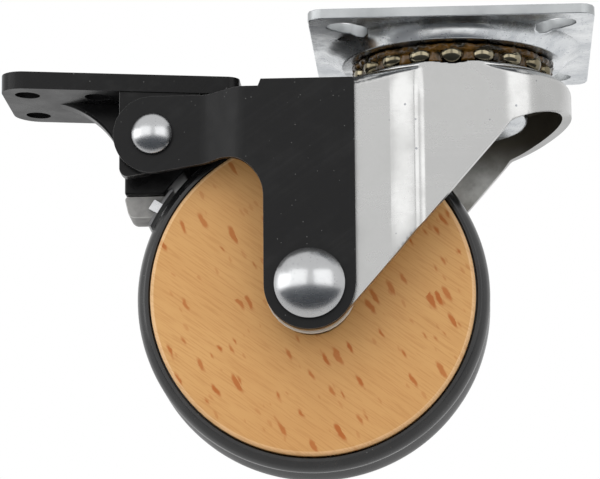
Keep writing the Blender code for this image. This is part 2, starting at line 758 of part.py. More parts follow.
def web_outline():
    """Side outline of the gusset under the pad, with a hollow curved lower edge."""
    back = PIVOT.x - CHEEK_FRONT + FRONT_WALL_T / 2
    toe = PIVOT.x - CHEEK_FRONT - PEDAL_WEB_REACH
    foot = PIVOT.z - CHEEK_DROP + CHEEK_CORNER
    embed = PAD_T / 2
    points = [(back, pad_height(back) + embed), (toe, pad_height(toe) + embed)]
    height = pad_height(toe) - foot
    for i in range(9):
        angle = math.pi / 2 * i / 8
        x = toe + PEDAL_WEB_REACH * math.sin(angle)
        points.append((x, foot + height * math.cos(angle)))
    points.append((back, foot))
    return points


def brake_pedal(material):
    """Moulded pedal: foot pad, gusset, two cheeks, the wall between them and the core."""
    pedal = finish_mesh(pedal_pad(), "brake_pedal", material)
    inner = CHEEK_OUTER_Y - CHEEK_T
    for name, side in (("near", -1), ("far", 1)):
        ends = sorted((side * inner, side * CHEEK_OUTER_Y))
        combine(pedal, helper(prism_xz(cheek_outline(), *ends), f"pedal_cheek_{name}"), "UNION")
    front = PIVOT.x - CHEEK_FRONT
    wall_top = pad_height(front) + PAD_T / 2
    wall_foot = PIVOT.z - CHEEK_DROP / 2
    wall = [(front, wall_foot), (front + FRONT_WALL_T, wall_foot)]
    wall += [(front + FRONT_WALL_T, wall_top), (front, wall_top)]
    reach = CHEEK_OUTER_Y - CHEEK_T / 2
    combine(pedal, helper(prism_xz(wall, -reach, reach), "pedal_wall"), "UNION")
    core = [(front + FRONT_WALL_T / 2, PIVOT.z - CORE_DROP), (PIVOT.x + CORE_BACK, PIVOT.z - CORE_DROP)]
    core_top = PIVOT.z + CORE_RISE
    core += [(PIVOT.x + CORE_BACK, core_top), (front + FRONT_WALL_T / 2, core_top)]
    combine(pedal, helper(prism_xz(core, -CORE_HALF_W, CORE_HALF_W), "pedal_core"), "UNION")
    half_web = PEDAL_WEB_T / 2
    combine(pedal, helper(prism_xz(web_outline(), -half_web, half_web), "pedal_web"), "UNION")
    clear = arc((AXLE.x, AXLE.z), TYRE_R + PEDAL_TO_TYRE, 0.0, 2 * math.pi, FINE)[:-1]
    combine(pedal, helper(prism_xz(clear, -2 * PAD_HALF_W, 2 * PAD_HALF_W), "pedal_clear"), "DIFFERENCE")
    for index, (column, side) in enumerate(((0, -1), (0, 1), (1, -1), (1, 1))):
        centre = (PAD_HOLE_FRONT_X + column * PAD_HOLE_PITCH, side * PAD_HOLE_Y)
        outline = arc(centre, PAD_HOLE_R, 0.0, 2 * math.pi, 12)[:-1]
        hole = prism_xy(outline, PIVOT.z, PIVOT.z + 2 * PAD_LIFT)
        combine(pedal, helper(hole, f"pad_hole_{index + 1}"), "DIFFERENCE")
    outline = arc((PIVOT.x, PIVOT.z), PIVOT_PIN_R + RUN_GAP, 0.0, 2 * math.pi, COARSE)[:-1]
    pin_bore = prism_xz(outline, -2 * PAD_HALF_W, 2 * PAD_HALF_W)
    combine(pedal, helper(pin_bore, "pedal_pin_bore"), "DIFFERENCE")
    return pedal


def pedal_pin(material):
    """Rivet through both lobes and the pedal, domed at both ends."""
    base = LOBE_OUTER_Y + SEAT_GAP
    near = [(PIVOT_PIN_R, base)] + dome_profile(PIVOT_DOME_R, PIVOT_DOME_H, base, 4)
    far = [(r, -h) for r, h in reversed(near)]
    return finish_mesh(along_axle(turned(far + near, COARSE, closed=False), PIVOT), "pedal_pin", material)


def tyre_arc(radius, start, end, steps=5):
    """Points of an arc about the axle, where the brake meets the tyre."""
    return arc((AXLE.x, AXLE.z), radius, start, end, steps)


def brake_shoe(material):
    """Narrow block under the pedal's core, hollowed to the tyre's curve."""
    front = PIVOT.x - CHEEK_FRONT + FRONT_WALL_T / 2
    foot = PIVOT.z - SHOE_FOOT_DROP
    top = PIVOT.z - CORE_DROP - SEAT_GAP
    face_r = TYRE_R + SHOE_GAP + LEAF_T + SEAT_GAP
    start = math.pi - math.asin((top - AXLE.z) / face_r)
    face = tyre_arc(face_r, start, LEAF_END)
    toe = (face[-1][0], min(foot, face[-1][1] - SEAT_GAP))
    low_front = front + SHOE_RAKE
    outline = [(front, top)] + face + [toe]
    outline += rounded_corner(toe, (low_front, toe[1]), (front, top), SHOE_CORNER)
    return finish_mesh(prism_xz(outline, -SHOE_HALF_W, SHOE_HALF_W), "brake_shoe", material)


def brake_leaf(material):
    """Thin steel leaf on the shoe's face, which grips the tyre."""
    inner = TYRE_R + SHOE_GAP
    outline = tyre_arc(inner, LEAF_START, LEAF_END) + tyre_arc(inner + LEAF_T, LEAF_END, LEAF_START)
    return finish_mesh(prism_xz(outline, -LEAF_HALF_W, LEAF_HALF_W), "brake_leaf", material)


def main():
    """Build every piece and hang each on the empty of the joint that carries it."""
    for obj in list(bpy.data.objects):
        bpy.data.objects.remove(obj)
    zinc = make_material("zinc", (0.66, 0.68, 0.69), 0.32, 1.0)
    chrome = make_material("chrome", (0.78, 0.78, 0.79), 0.12, 1.0)
    steel = make_material("steel", (0.60, 0.61, 0.62), 0.25, 1.0)
    black_paint = make_material("black_paint", (0.022, 0.022, 0.023), 0.45, 0.0)
    black_plastic = make_material("black_plastic", (0.020, 0.020, 0.021), 0.50, 0.0)
    dark_plastic = make_material("dark_plastic", (0.060, 0.060, 0.062), 0.50, 0.0)
    rubber = make_material("rubber", (0.025, 0.025, 0.026), 0.55, 0.0)
    beech = make_material("beech", (0.66, 0.38, 0.16), 0.45, 0.0)
    nylon = make_material("nylon", (0.75, 0.74, 0.70), 0.45, 0.0)

    swivel = make_empty("swivel_axis", (0.0, 0.0, 0.0))
    wheel = make_empty("wheel_axis", AXLE)
    brake = make_empty("brake_axis", PIVOT)

    top_plate(zinc)
    kingpin(zinc)
    lower_race_cup(zinc)
    race_balls(steel)

    for piece in (
        fork(chrome),
        lower_thrust_ring(nylon),
        brake_bracket(black_paint),
        pedal_pin(chrome),
        axle_bolt(chrome),
        axle_cap(chrome),
        axle_ring("axle_sleeve", SLEEVE_R, AXLE_R + RUN_GAP, -SLEEVE_HALF, SLEEVE_HALF, steel),
        axle_ring("washer_near", WASHER_R, BUSH_BORE_R, SLEEVE_HALF - WASHER_T, SLEEVE_HALF, zinc),
        axle_ring("washer_far", WASHER_R, BUSH_BORE_R, -SLEEVE_HALF, WASHER_T - SLEEVE_HALF, zinc),
    ):
        place(piece, swivel)
    for piece in (
        wheel_hub(black_plastic),
        tyre(rubber),
        wood_face("wood_face_near", -1, beech),
        wood_face("wood_face_far", 1, beech),
        bush("bush_near", -1, nylon),
        bush("bush_far", 1, nylon),
    ):
        place(piece, wheel)
    for piece in (brake_pedal(black_plastic), brake_shoe(dark_plastic), brake_leaf(steel)):
        place(piece, brake)


main()
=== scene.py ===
"""Dressed braked swivel castor with a wood-faced wheel.

Lengths are in metres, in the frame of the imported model: the origin is the centre of the
top plate's upper face, +Z is up, the axle lies along Y and the wheel trails towards -X.
"""

from __future__ import annotations

import logging
import math
from dataclasses import dataclass
from enum import Enum
from typing import Any, Sequence

import bmesh
import bpy
from mathutils import Matrix, Vector, noise

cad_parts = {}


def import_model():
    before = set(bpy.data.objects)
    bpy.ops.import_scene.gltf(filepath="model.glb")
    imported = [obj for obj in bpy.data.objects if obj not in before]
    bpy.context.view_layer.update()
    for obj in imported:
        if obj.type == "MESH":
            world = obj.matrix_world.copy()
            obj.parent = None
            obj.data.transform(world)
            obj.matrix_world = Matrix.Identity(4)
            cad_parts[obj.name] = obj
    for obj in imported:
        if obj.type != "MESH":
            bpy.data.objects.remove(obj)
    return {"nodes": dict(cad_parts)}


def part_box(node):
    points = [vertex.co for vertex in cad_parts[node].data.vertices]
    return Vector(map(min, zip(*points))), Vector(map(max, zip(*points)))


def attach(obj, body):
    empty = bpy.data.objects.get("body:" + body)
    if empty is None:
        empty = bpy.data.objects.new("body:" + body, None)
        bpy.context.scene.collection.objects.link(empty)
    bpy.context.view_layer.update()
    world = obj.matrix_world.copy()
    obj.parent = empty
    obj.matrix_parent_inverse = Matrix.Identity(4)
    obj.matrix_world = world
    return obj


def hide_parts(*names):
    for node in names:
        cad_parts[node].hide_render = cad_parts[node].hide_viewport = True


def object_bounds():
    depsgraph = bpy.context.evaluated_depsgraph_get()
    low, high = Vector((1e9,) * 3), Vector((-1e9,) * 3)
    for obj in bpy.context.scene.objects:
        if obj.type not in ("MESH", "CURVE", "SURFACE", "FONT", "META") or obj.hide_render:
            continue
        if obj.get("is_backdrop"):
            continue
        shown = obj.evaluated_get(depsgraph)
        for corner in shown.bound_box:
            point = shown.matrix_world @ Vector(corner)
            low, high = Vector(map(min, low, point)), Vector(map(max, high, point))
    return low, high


LOG = logging.getLogger("castor")
MM = 0.001
MERGE = 1e-6
HARD_EDGE = math.radians(40.0)
FLAT = math.radians(0.5)
# Least part of a normal that lies along an axis when its face counts as square to it.
FACING = 0.9
# Least turns, in degrees, of the edges of a block, of cut sheet and of a rounded outline.
BLOCK_EDGE = 35.0
CUT_EDGE = 50.0
ROUND_EDGE = 60.0

Point = tuple[float, float]
Triple = tuple[float, float, float]
Shape = bmesh.types.BMesh
Tree = bpy.types.NodeTree
Material = bpy.types.Material
Face = bmesh.types.BMFace
Edge = bmesh.types.BMEdge


class Body(Enum):
    """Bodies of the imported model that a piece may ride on."""

    PLATE = "plate"
    BALL_RING = "ball_ring"
    SWIVEL = "swivel"
    WHEEL = "wheel"
    BRAKE = "brake"


class Slot(Enum):
    """Material slots of the record."""

    ZINC = "zinc"
    CHROME = "chrome"
    STEEL = "steel"
    BLACK_PAINT = "black_paint"
    BLACK_PLASTIC = "black_plastic"
    DARK_PLASTIC = "dark_plastic"
    TYRE = "tyre"
    BEECH = "beech"
    NYLON = "nylon"


class Axis(Enum):
    """Axis that a shape is turned about, drawn along or cut across."""

    X = 0
    Y = 1
    Z = 2

    @property
    def direction(self) -> Vector:
        """Return the unit vector along the axis."""
        return Vector([float(i == self.value) for i in range(3)])


class Net:
    """Shader tree with short ways to add the nodes that the finishes use."""

    def __init__(self, tree: Tree) -> None:
        """Take the tree that the nodes go into."""
        self.tree = tree

    def add(self, kind: str, feeds: dict[Any, Any] | None = None, **settings: Any) -> Any:
        """Add one node, set it up and feed its sockets.

        Args:
            kind: Node type without its prefix, such as TexNoise.
            feeds: Socket name or index to a value, or to another node's output socket.
            **settings: Attributes of the node.

        Returns:
            The new node.
        """
        node = self.tree.nodes.new(f"ShaderNode{kind}")
        for key, value in settings.items():
            setattr(node, key, value)
        for key, value in (feeds or {}).items():
            if isinstance(value, bpy.types.NodeSocket):
                self.link(value, node.inputs[key])
            else:
                node.inputs[key].default_value = value
        return node

    def link(self, source: Any, target: Any) -> None:
        """Join an output socket to an input socket."""
        self.tree.links.new(source, target)

    def place(self) -> Any:
        """Return the socket of the Object coordinates."""
        return self.add("TexCoord").outputs["Object"]

    def work_out(self, how: str, first: Any, second: Any) -> Any:
        """Add a Math node and return its output socket."""
        return self.add("Math", {0: first, 1: second}, operation=how).outputs[0]

    def plus(self, first: Any, second: Any) -> Any:
        """Return the socket of a sum."""
        return self.work_out("ADD", first, second)

    def minus(self, first: Any, second: Any) -> Any:
        """Return the socket of a difference."""
        return self.work_out("SUBTRACT", first, second)

    def times(self, first: Any, second: Any) -> Any:
        """Return the socket of a product."""
        return self.work_out("MULTIPLY", first, second)

    def vector(self, how: str, feeds: dict[Any, Any]) -> Any:
        """Add a Vector Math node and return its output socket."""
        return self.add("VectorMath", feeds, operation=how).outputs[0]

    def ramp(self, value: Any, low: float, high: float) -> Any:
        """Return the socket that eases from 0 to 1 as a value goes from low to high."""
        feeds = {"Value": value, "From Min": low, "From Max": high}
        return self.add("MapRange", feeds, interpolation_type="SMOOTHSTEP").outputs["Result"]

    def mix(self, mask: Any, first: Any, second: Any) -> Any:
        """Mix two colours by a mask.

        Args:
            mask: Factor socket.
            first: Colour, or output socket, where the mask is 0.
            second: Colour, or output socket, where the mask is 1.

        Returns:
            The mixed colour's output socket.
        """
        feeds = {0: mask, 6: first, 7: second}
        for key in (6, 7):
            if isinstance(feeds[key], tuple):
                feeds[key] = (*feeds[key], 1.0)
        return self.add("Mix", feeds, data_type="RGBA").outputs[2]

    def noise(self, vector: Any, scale: Any, detail: float, roughness: float = 0.5) -> Any:
        """Add a noise texture and return its outputs."""
        feeds = {"Vector": vector, "Scale": scale, "Detail": detail, "Roughness": roughness}
        return self.add("TexNoise", feeds).outputs

    def along(self, vector: Any, rotation: Any, scale: Triple) -> Any:
        """Return the socket of coordinates that are turned and then stretched."""
        turned = self.add("Mapping", {"Vector": vector, "Rotation": rotation}).outputs[0]
        return self.add("Mapping", {"Vector": turned, "Scale": scale}).outputs[0]

    def spots(self, cells: Any, share: Any, span: Point, fade: float) -> Any:
        """Return a mask of one spot in each of some cells.

        Args:
            cells: Voronoi node.
            share: Part of the cells that holds a spot.
            span: Least size of a spot in cells, and how much larger it may be.
            fade: Width of a spot's soft edge in cells.

        Returns:
            The mask's socket.
        """
        tint = self.add("SeparateColor", {"Color": cells.outputs["Color"]}).outputs
        chosen = self.work_out("LESS_THAN", tint["Red"], share)
        size = self.plus(self.times(tint["Green"], span[1]), span[0])
        return self.times(chosen, self.ramp(self.minus(size, cells.outputs["Distance"]), 0.0, fade))

    def effect(self, group: Tree, **values: float) -> Any:
        """Place a shared effect with its own values.

        Args:
            group: Shared effect.
            **values: Its input values by name.

        Returns:
            The mask's socket.
        """
        node = self.add("Group", node_tree=group)
        for key, value in values.items():
            node.inputs[key].default_value = value
        return node.outputs["Mask"]

    def relief(self, sockets: Any, height: Any, depth: float, strength: float) -> None:
        """Feed a height to a shader's normal through a Bump node."""
        bump = self.add("Bump", {"Height": height, "Distance": depth, "Strength": strength})
        self.link(bump.outputs[0], sockets["Normal"])


class Effects:
    """Shader node groups that more than one finish uses; each puts out one mask."""

    @staticmethod
    def start(name: str, **inputs: float) -> tuple[Net, Any, Any]:
        """Make a group.

        Args:
            name: Name of the group.
            **inputs: Input names and their defaults.

        Returns:
            The group's tree, its input values and the socket that takes its mask.
        """
        tree = bpy.data.node_groups.new(name, "ShaderNodeTree")
        for key, value in inputs.items():
            socket = tree.interface.new_socket(key, in_out="INPUT", socket_type="NodeSocketFloat")
            socket.default_value = value
        tree.interface.new_socket("Mask", in_out="OUTPUT", socket_type="NodeSocketFloat")
        values = tree.nodes.new("NodeGroupInput").outputs
        return Net(tree), values, tree.nodes.new("NodeGroupOutput").inputs["Mask"]

    @classmethod
    def specks(cls) -> Tree:
        """Build the group of small scattered specks, such as dust or pits.

        Returns:
            The group.
        """
        net, values, mask = cls.start("specks", Scale=900.0, Amount=0.1)
        cells = net.add("TexVoronoi", {"Vector": net.place(), "Scale": values["Scale"]})
        net.link(net.spots(cells, values["Amount"], (0.06, 0.30), 0.10), mask)
        return net.tree

    @classmethod
    def mottle(cls) -> Tree:
        """Build the group of soft cloudy variation, for smudges and uneven sheen.

        Returns:
            The group.
        """
        net, values, mask = cls.start("mottle", Scale=60.0, Contrast=0.5)
        cloud = net.noise(net.place(), values["Scale"], 6.0, 0.62)["Fac"]
        wide = net.times(net.minus(cloud, 0.5), 4.0)
        level = net.plus(net.times(wide, values["Contrast"]), 0.5)
        net.link(net.add("Clamp", {"Value": level}).outputs["Result"], mask)
        return net.tree

    @classmethod
    def hairlines(cls) -> Tree:
        """Build the group of fine drawn lines and scratches that run one way.

        Returns:
            The group.
        """
        net, values, mask = cls.start("hairlines", Scale=1.0, Turn=0.0)
        angle = net.add("CombineXYZ", {"Y": values["Turn"]}).outputs[0]
        drawn = net.along(net.place(), angle, (60.0, 2200.0, 2200.0))
        lines = net.noise(drawn, values["Scale"], 3.0)["Fac"]
        net.link(net.ramp(lines, 0.42, 0.72), mask)
        return net.tree


@dataclass(frozen=True)
class Finish:
    """One surface finish; subclasses add the nodes that make it its own."""

    name: str
    colour: Triple
    roughness: float
    metallic: float = 0.0
    sheen: float = 0.5

    def build(self, groups: dict[str, Tree]) -> Material:
        """Make the material.

        Args:
            groups: Shared effect groups by name.

        Returns:
            The finished material.
        """
        material = bpy.data.materials.new(self.name)
        material.use_nodes = True
        sockets = material.node_tree.nodes["Principled BSDF"].inputs
        sockets["Base Color"].default_value = (*self.colour, 1.0)
        sockets["Roughness"].default_value = self.roughness
        sockets["Metallic"].default_value = self.metallic
        sockets["Specular IOR Level"].default_value = self.sheen
        self.dress(Net(material.node_tree), sockets, groups)
        return material

    def dress(self, net: Net, sockets: Any, groups: dict[str, Tree]) -> None:
        """Add the nodes of this finish; the plain finish adds none."""


@dataclass(frozen=True)
class PlatedMetal(Finish):
    """Bright metal with smudges, drawn lines and pits, and where asked a painted shade that darkens it
    towards the top.
    """

    metallic: float = 1.0
    smudge: float = 0.10
    smudge_scale: float = 70.0
    smudge_contrast: float = 0.9
    lines: float = 0.03
    line_depth: float = 0.001 * MM
    line_strength: float = 0.25
    pits: float = 0.0
    pit_strength: float = 0.7
    pit_scale: float = 900.0
    pit_colour: Triple = (0.16, 0.17, 0.19)
    cloud: float = 0.25
    cloud_and_shade_colour: Triple = (0.5, 0.5, 0.52)
    # Heights over which a painted shade turns the colour dark upwards; equal ends leave it out.
    painted_shade_over: Point = (0.0, 0.0)

    def dress(self, net: Net, sockets: Any, groups: dict[str, Tree]) -> None:
        """Cloud the colour, darken it towards the top with painted shade, spot it with pits and vary the
        roughness.

        Args:
            net: Nodes of the material.
            sockets: The shader's input sockets.
            groups: Shared effect groups by name.
        """
        smudge = net.effect(groups["mottle"], Scale=self.smudge_scale, Contrast=self.smudge_contrast)
        lines = net.effect(groups["hairlines"], Scale=1.0)
        shade = net.mix(net.times(smudge, self.cloud), self.colour, self.cloud_and_shade_colour)
        # Painted shade: above these heights the colour goes to the cloud colour.
        if self.painted_shade_over[0] < self.painted_shade_over[1]:
            height = net.add("SeparateXYZ", {0: net.place()}).outputs["Z"]
            shade = net.mix(net.ramp(height, *self.painted_shade_over), shade, self.cloud_and_shade_colour)
        if self.pits > 0.0:
            pits = net.effect(groups["specks"], Scale=self.pit_scale, Amount=self.pits)
            shade = net.mix(net.times(pits, self.pit_strength), shade, self.pit_colour)
        net.link(shade, sockets["Base Color"])
        rough = net.plus(net.times(smudge, self.smudge), net.times(lines, self.lines))
        net.link(net.plus(rough, self.roughness), sockets["Roughness"])
        net.relief(sockets, lines, self.line_depth, self.line_strength)


@dataclass(frozen=True)
class DustyFinish(Finish):
    """Paint, moulding or rubber with dust specks, scratches and a fine texture."""

    sheen: float = 0.22
    dust: float = 0.05
    dust_scale: float = 2600.0
    dust_strength: float = 0.4
    dust_colour: Triple = (0.34, 0.34, 0.33)
    grain_scale: float = 1800.0
    grain_depth: float = 0.02 * MM
    grain_strength: float = 0.6
    cloud_scale: float = 90.0
    scuff: float = 0.12
    scuff_from: float = 0.45
    scuff_colour: Triple = (0.05, 0.05, 0.05)
    scratch: float = 0.08
    scratch_scale: float = 0.35
    scratch_turn: float = math.radians(35.0)
    uneven: float = 0.12

    def dress(self, net: Net, sockets: Any, groups: dict[str, Tree]) -> None:
        """Scatter dust, rub the surface lighter in places and give it a fine texture.

        Args:
            net: Nodes of the material.
            sockets: The shader's input sockets.
            groups: Shared effect groups by name.
        """
        cloud = net.effect(groups["mottle"], Scale=self.cloud_scale, Contrast=1.0)
        lines = net.effect(groups["hairlines"], Scale=self.scratch_scale, Turn=self.scratch_turn)
        dust = net.effect(groups["specks"], Scale=self.dust_scale, Amount=self.dust)
        rubbed = net.times(net.ramp(cloud, self.scuff_from, 1.0), self.scuff)
        shade = net.mix(rubbed, self.colour, self.scuff_colour)
        scored = net.times(net.times(lines, cloud), self.scratch)
        shade = net.mix(scored, shade, self.scuff_colour)
        shade = net.mix(net.times(dust, self.dust_strength), shade, self.dust_colour)
        net.link(shade, sockets["Base Color"])
        rough = net.plus(net.times(cloud, self.uneven), self.roughness - self.uneven / 2)
        net.link(rough, sockets["Roughness"])
        grain = net.noise(net.place(), self.grain_scale, 2.0)["Fac"]
        net.relief(sockets, grain, self.grain_depth, self.grain_strength)


@dataclass(frozen=True)
class FleckLayer:
    """One layer of ray flecks.

    The cells per metre are along the flecks, through the wood and across the flecks. The share is
    the part of the cells that holds a fleck, and the span is the least size of a fleck in cells, and
    how much larger it may be.
    """

    cells: Triple
    share: float
    span: Point
    strength: float


@dataclass(frozen=True)
class BeechWood(Finish):
    """Quarter-cut beech: pale ground, fine grain and reddish ray flecks."""

    sheen: float = 0.3
    dark: Triple = (0.53, 0.265, 0.088)
    fleck: Triple = (0.42, 0.115, 0.018)
    grain_turn: float = math.radians(36.0)
    fleck_turn: float = math.radians(60.0)
    wander: float = 1.2 * MM
    wander_scale: float = 420.0
    broad_scale: float = 38.0
    broad: float = 0.30
    uneven: float = 0.10
    band_cells: Triple = (40.0, 420.0, 420.0)
    bands: float = 0.28
    pore_cells: Triple = (150.0, 3000.0, 3000.0)
    pores: float = 0.65
    grain_depth: float = 0.03 * MM
    centre: Triple = (0.0, 0.0, 0.0)
    layers: tuple[FleckLayer, ...] = (
        FleckLayer((260.0, 1.0, 760.0), 0.18, (0.16, 0.20), 0.40),
        FleckLayer((150.0, 1.0, 520.0), 0.36, (0.17, 0.25), 1.0),
    )

    def dress(self, net: Net, sockets: Any, groups: dict[str, Tree]) -> None:
        """Lay the grain and the flecks across the disc, each along its own direction.

        Args:
            net: Nodes of the material.
            sockets: The shader's input sockets.
            groups: Shared effect groups by name.
        """
        centred = net.vector("SUBTRACT", {0: net.place(), 1: self.centre})
        stir = net.noise(centred, self.wander_scale, 3.0)["Color"]
        nudge = net.vector("SUBTRACT", {0: stir, 1: (0.5, 0.5, 0.5)})
        nudge = net.vector("SCALE", {0: nudge, "Scale": self.wander})
        loose = net.vector("ADD", {0: centred, 1: nudge})
        grain = self.grain(net, centred)
        shade = net.mix(grain, self.colour, self.dark)
        broad = net.effect(groups["mottle"], Scale=self.broad_scale, Contrast=0.8)
        shade = net.mix(net.times(broad, self.broad), shade, self.dark)
        for layer in self.layers:
            mask = net.times(self.flecks(net, loose, layer), layer.strength)
            shade = net.mix(mask, shade, self.fleck)
        net.link(shade, sockets["Base Color"])
        net.link(net.plus(net.times(broad, self.uneven), self.roughness), sockets["Roughness"])
        height = net.minus(1.0, net.times(grain, 0.6))
        net.relief(sockets, height, self.grain_depth, 0.5)

    def grain(self, net: Net, vector: Any) -> Any:
        """Draw the fine grain lines.

        Args:
            net: Nodes of the material.
            vector: Coordinates' socket.

        Returns:
            The mask's socket.
        """
        rotation = (0.0, -self.grain_turn, 0.0)
        bands = net.noise(net.along(vector, rotation, self.band_cells), 1.0, 4.0)["Fac"]
        pores = net.noise(net.along(vector, rotation, self.pore_cells), 1.0, 2.0)["Fac"]
        soft = net.times(net.ramp(bands, 0.40, 0.68), self.bands)
        sharp = net.times(net.ramp(pores, 0.47, 0.64), self.pores)
        return net.plus(soft, sharp)

    def flecks(self, net: Net, vector: Any, layer: FleckLayer) -> Any:
        """Draw one layer of ray flecks.

        Args:
            net: Nodes of the material.
            vector: Coordinates' socket.
            layer: Sizes of the layer.

        Returns:
            The mask's socket.
        """
        turned = net.along(vector, (0.0, -self.fleck_turn, 0.0), layer.cells)
        at = net.add("SeparateXYZ", {0: turned}).outputs
        flat = net.add("CombineXYZ", {"X": at["X"], "Y": at["Z"]}).outputs[0]
        feeds = {"Vector": flat, "Scale": 1.0, "Randomness": 0.85}
        cells = net.add("TexVoronoi", feeds, voronoi_dimensions="2D")
        tint = net.add("SeparateColor", {"Color": cells.outputs["Color"]}).outputs
        depth = net.plus(net.times(tint["Blue"], 0.3), 0.7)
        return net.times(net.spots(cells, layer.share, layer.span, 0.20), depth)


@dataclass(frozen=True)
class Grease(Finish):
    """Thick amber grease, uneven in colour and very glossy."""

    sheen: float = 0.4
    dark: Triple = (0.016, 0.012, 0.005)
    ripple: float = 0.05 * MM

    def dress(self, net: Net, sockets: Any, groups: dict[str, Tree]) -> None:
        """Vary the colour from amber to near black and ripple the surface.

        Args:
            net: Nodes of the material.
            sockets: The shader's input sockets.
            groups: Shared effect groups by name.
        """
        cloud = net.effect(groups["mottle"], Scale=320.0, Contrast=1.4)
        net.link(net.mix(cloud, self.colour, self.dark), sockets["Base Color"])
        net.relief(sockets, net.effect(groups["mottle"], Scale=700.0, Contrast=1.0), self.ripple, 0.6)


@dataclass(frozen=True)
class MouldedNylon(Finish):
    """Pale moulded plastic with faint soiling."""

    soil: Triple = (0.42, 0.39, 0.31)
    soiling: float = 0.35

    def dress(self, net: Net, sockets: Any, groups: dict[str, Tree]) -> None:
        """Soil the colour in soft clouds."""
        mask = net.times(net.effect(groups["mottle"], Scale=140.0, Contrast=0.9), self.soiling)
        net.link(net.mix(mask, self.colour, self.soil), sockets["Base Color"])


@dataclass
class Finishes:
    """Every finish of the castor, built once."""

    axle: Vector

    def build(self) -> dict[str, Material]:
        """Make the shared groups and then each material.

        Returns:
            Materials by finish name.
        """
        groups = {"specks": Effects.specks(), "mottle": Effects.mottle(), "hairlines": Effects.hairlines()}
        finishes = (*self.metals(), *self.coatings(), *self.others())
        return {finish.name: finish.build(groups) for finish in finishes}

    def metals(self) -> tuple[Finish, ...]:
        """Describe the plated and bare metal.

        Returns:
            The finishes.
        """
        return (
            PlatedMetal(
                "zinc", (0.82, 0.84, 0.85), 0.15, smudge=0.18, smudge_scale=110.0, line_depth=0.004 * MM,
                pits=0.5, pit_scale=1500.0, pit_colour=(0.28, 0.30, 0.36),
                cloud=0.60, cloud_and_shade_colour=(0.42, 0.45, 0.49),
            ),
            PlatedMetal(
                "zinc_edge", (0.44, 0.455, 0.46), 0.34, smudge=0.20,
                cloud=0.4, cloud_and_shade_colour=(0.28, 0.29, 0.30),
            ),
            PlatedMetal(
                "chrome", (0.48, 0.48, 0.475), 0.20, smudge=0.16, pits=0.02,
                cloud=0.40, cloud_and_shade_colour=(0.36, 0.36, 0.35),
            ),
            # Inner faces of the fork: dull cloudy chrome with a painted shade that darkens it towards the
            # crown.
            PlatedMetal(
                "chrome_inside_shaded", (0.90, 0.91, 0.88), 0.34, metallic=0.35, smudge=0.20, smudge_scale=110.0,
                cloud=0.55, cloud_and_shade_colour=(0.085, 0.075, 0.055), painted_shade_over=(-30.0 * MM, -18.0 * MM),
            ),
            PlatedMetal(
                "bright_dome", (0.47, 0.475, 0.48), 0.21, smudge=0.10, cloud=0.10, pits=0.3, pit_scale=2800.0
            ),
            PlatedMetal("spring_steel", (0.10, 0.10, 0.10), 0.28, smudge=0.10),
            PlatedMetal("steel", (0.58, 0.58, 0.58), 0.16, smudge=0.10, cloud=0.3),
            PlatedMetal(
                "oiled_steel", (0.26, 0.23, 0.16), 0.06, smudge=0.10,
                cloud=0.9, cloud_and_shade_colour=(0.04, 0.028, 0.010),
            ),
        )

    def coatings(self) -> tuple[Finish, ...]:
        """Describe the paint, the mouldings and the tyre, with the painted highlights on their edges and by
        the tyre's groove.

        Returns:
            The finishes.
        """
        return (
            DustyFinish("black_paint", (0.007, 0.007, 0.0073), 0.42, dust=0.012, scuff=0.06, sheen=0.17),
            # Lighter grey for rounded edges: a painted highlight that the thin bevels don't catch.
            DustyFinish("painted_edge_highlight", (0.20, 0.20, 0.195), 0.30, dust=0.0, sheen=0.6),
            # Paler grey for the shoe's rounded edges: a painted highlight.
            DustyFinish("painted_shoe_edge_highlight", (0.50, 0.495, 0.48), 0.35, dust=0.0, sheen=0.5),
            DustyFinish(
                "black_plastic", (0.005, 0.005, 0.0052), 0.30, dust=0.012, grain_depth=0.012 * MM, sheen=0.15
            ),
            DustyFinish(
                "dark_plastic", (0.33, 0.325, 0.315), 0.50, dust=0.02,
                scuff=0.35, scuff_colour=(0.10, 0.10, 0.10),
            ),
            DustyFinish("tyre", (0.008, 0.008, 0.0083), 0.24, dust=0.012, grain_depth=0.006 * MM, sheen=0.52),
            # Lighter grey ring beside the tread groove: a painted highlight standing for the groove wall's
            # reflection.
            DustyFinish("tyre_groove_highlight", (0.26, 0.26, 0.26), 0.30, dust=0.0, sheen=0.6),
        )

    def others(self) -> tuple[Finish, ...]:
        """Describe the wood, the nylon and the grease.

        Returns:
            The finishes.
        """
        centre = tuple(self.axle)
        return (
            BeechWood("beech", (0.62, 0.345, 0.127), 0.42, centre=centre),
            # Paler, lighter beech for the rounded rim: a painted highlight standing for light from the floor
            # below.
            BeechWood(
                "beech_edge_highlight", (0.74, 0.47, 0.24), 0.40, centre=centre,
                dark=(0.60, 0.35, 0.15), fleck=(0.60, 0.32, 0.13),
            ),
            MouldedNylon("nylon", (0.58, 0.53, 0.47), 0.40),
            Grease("grease", (0.13, 0.062, 0.009), 0.12),
        )


def spread(low: float, high: float, count: int) -> list[float]:
    """Return evenly spaced values, both ends included."""
    return [low + (high - low) * i / (count - 1) for i in range(count)]


def swing(centre: Point, radius: float, start: float, end: float, pieces: int) -> list[Point]:
    """Return the points of an arc, with its angles in degrees."""
    turns = [math.radians(turn) for turn in spread(start, end, pieces + 1)]
    return [(centre[0] + radius * math.cos(turn), centre[1] + radius * math.sin(turn)) for turn in turns]


def ring(centre: Point, radius: float) -> list[Point]:
    """Return the points of a round hole."""
    return swing(centre, radius, 0.0, 360.0, 40)[:-1]


def ease(share: float) -> float:
    """Return a share from 0 to 1 with a gentle start and end."""
    return share * share * (3 - 2 * share)


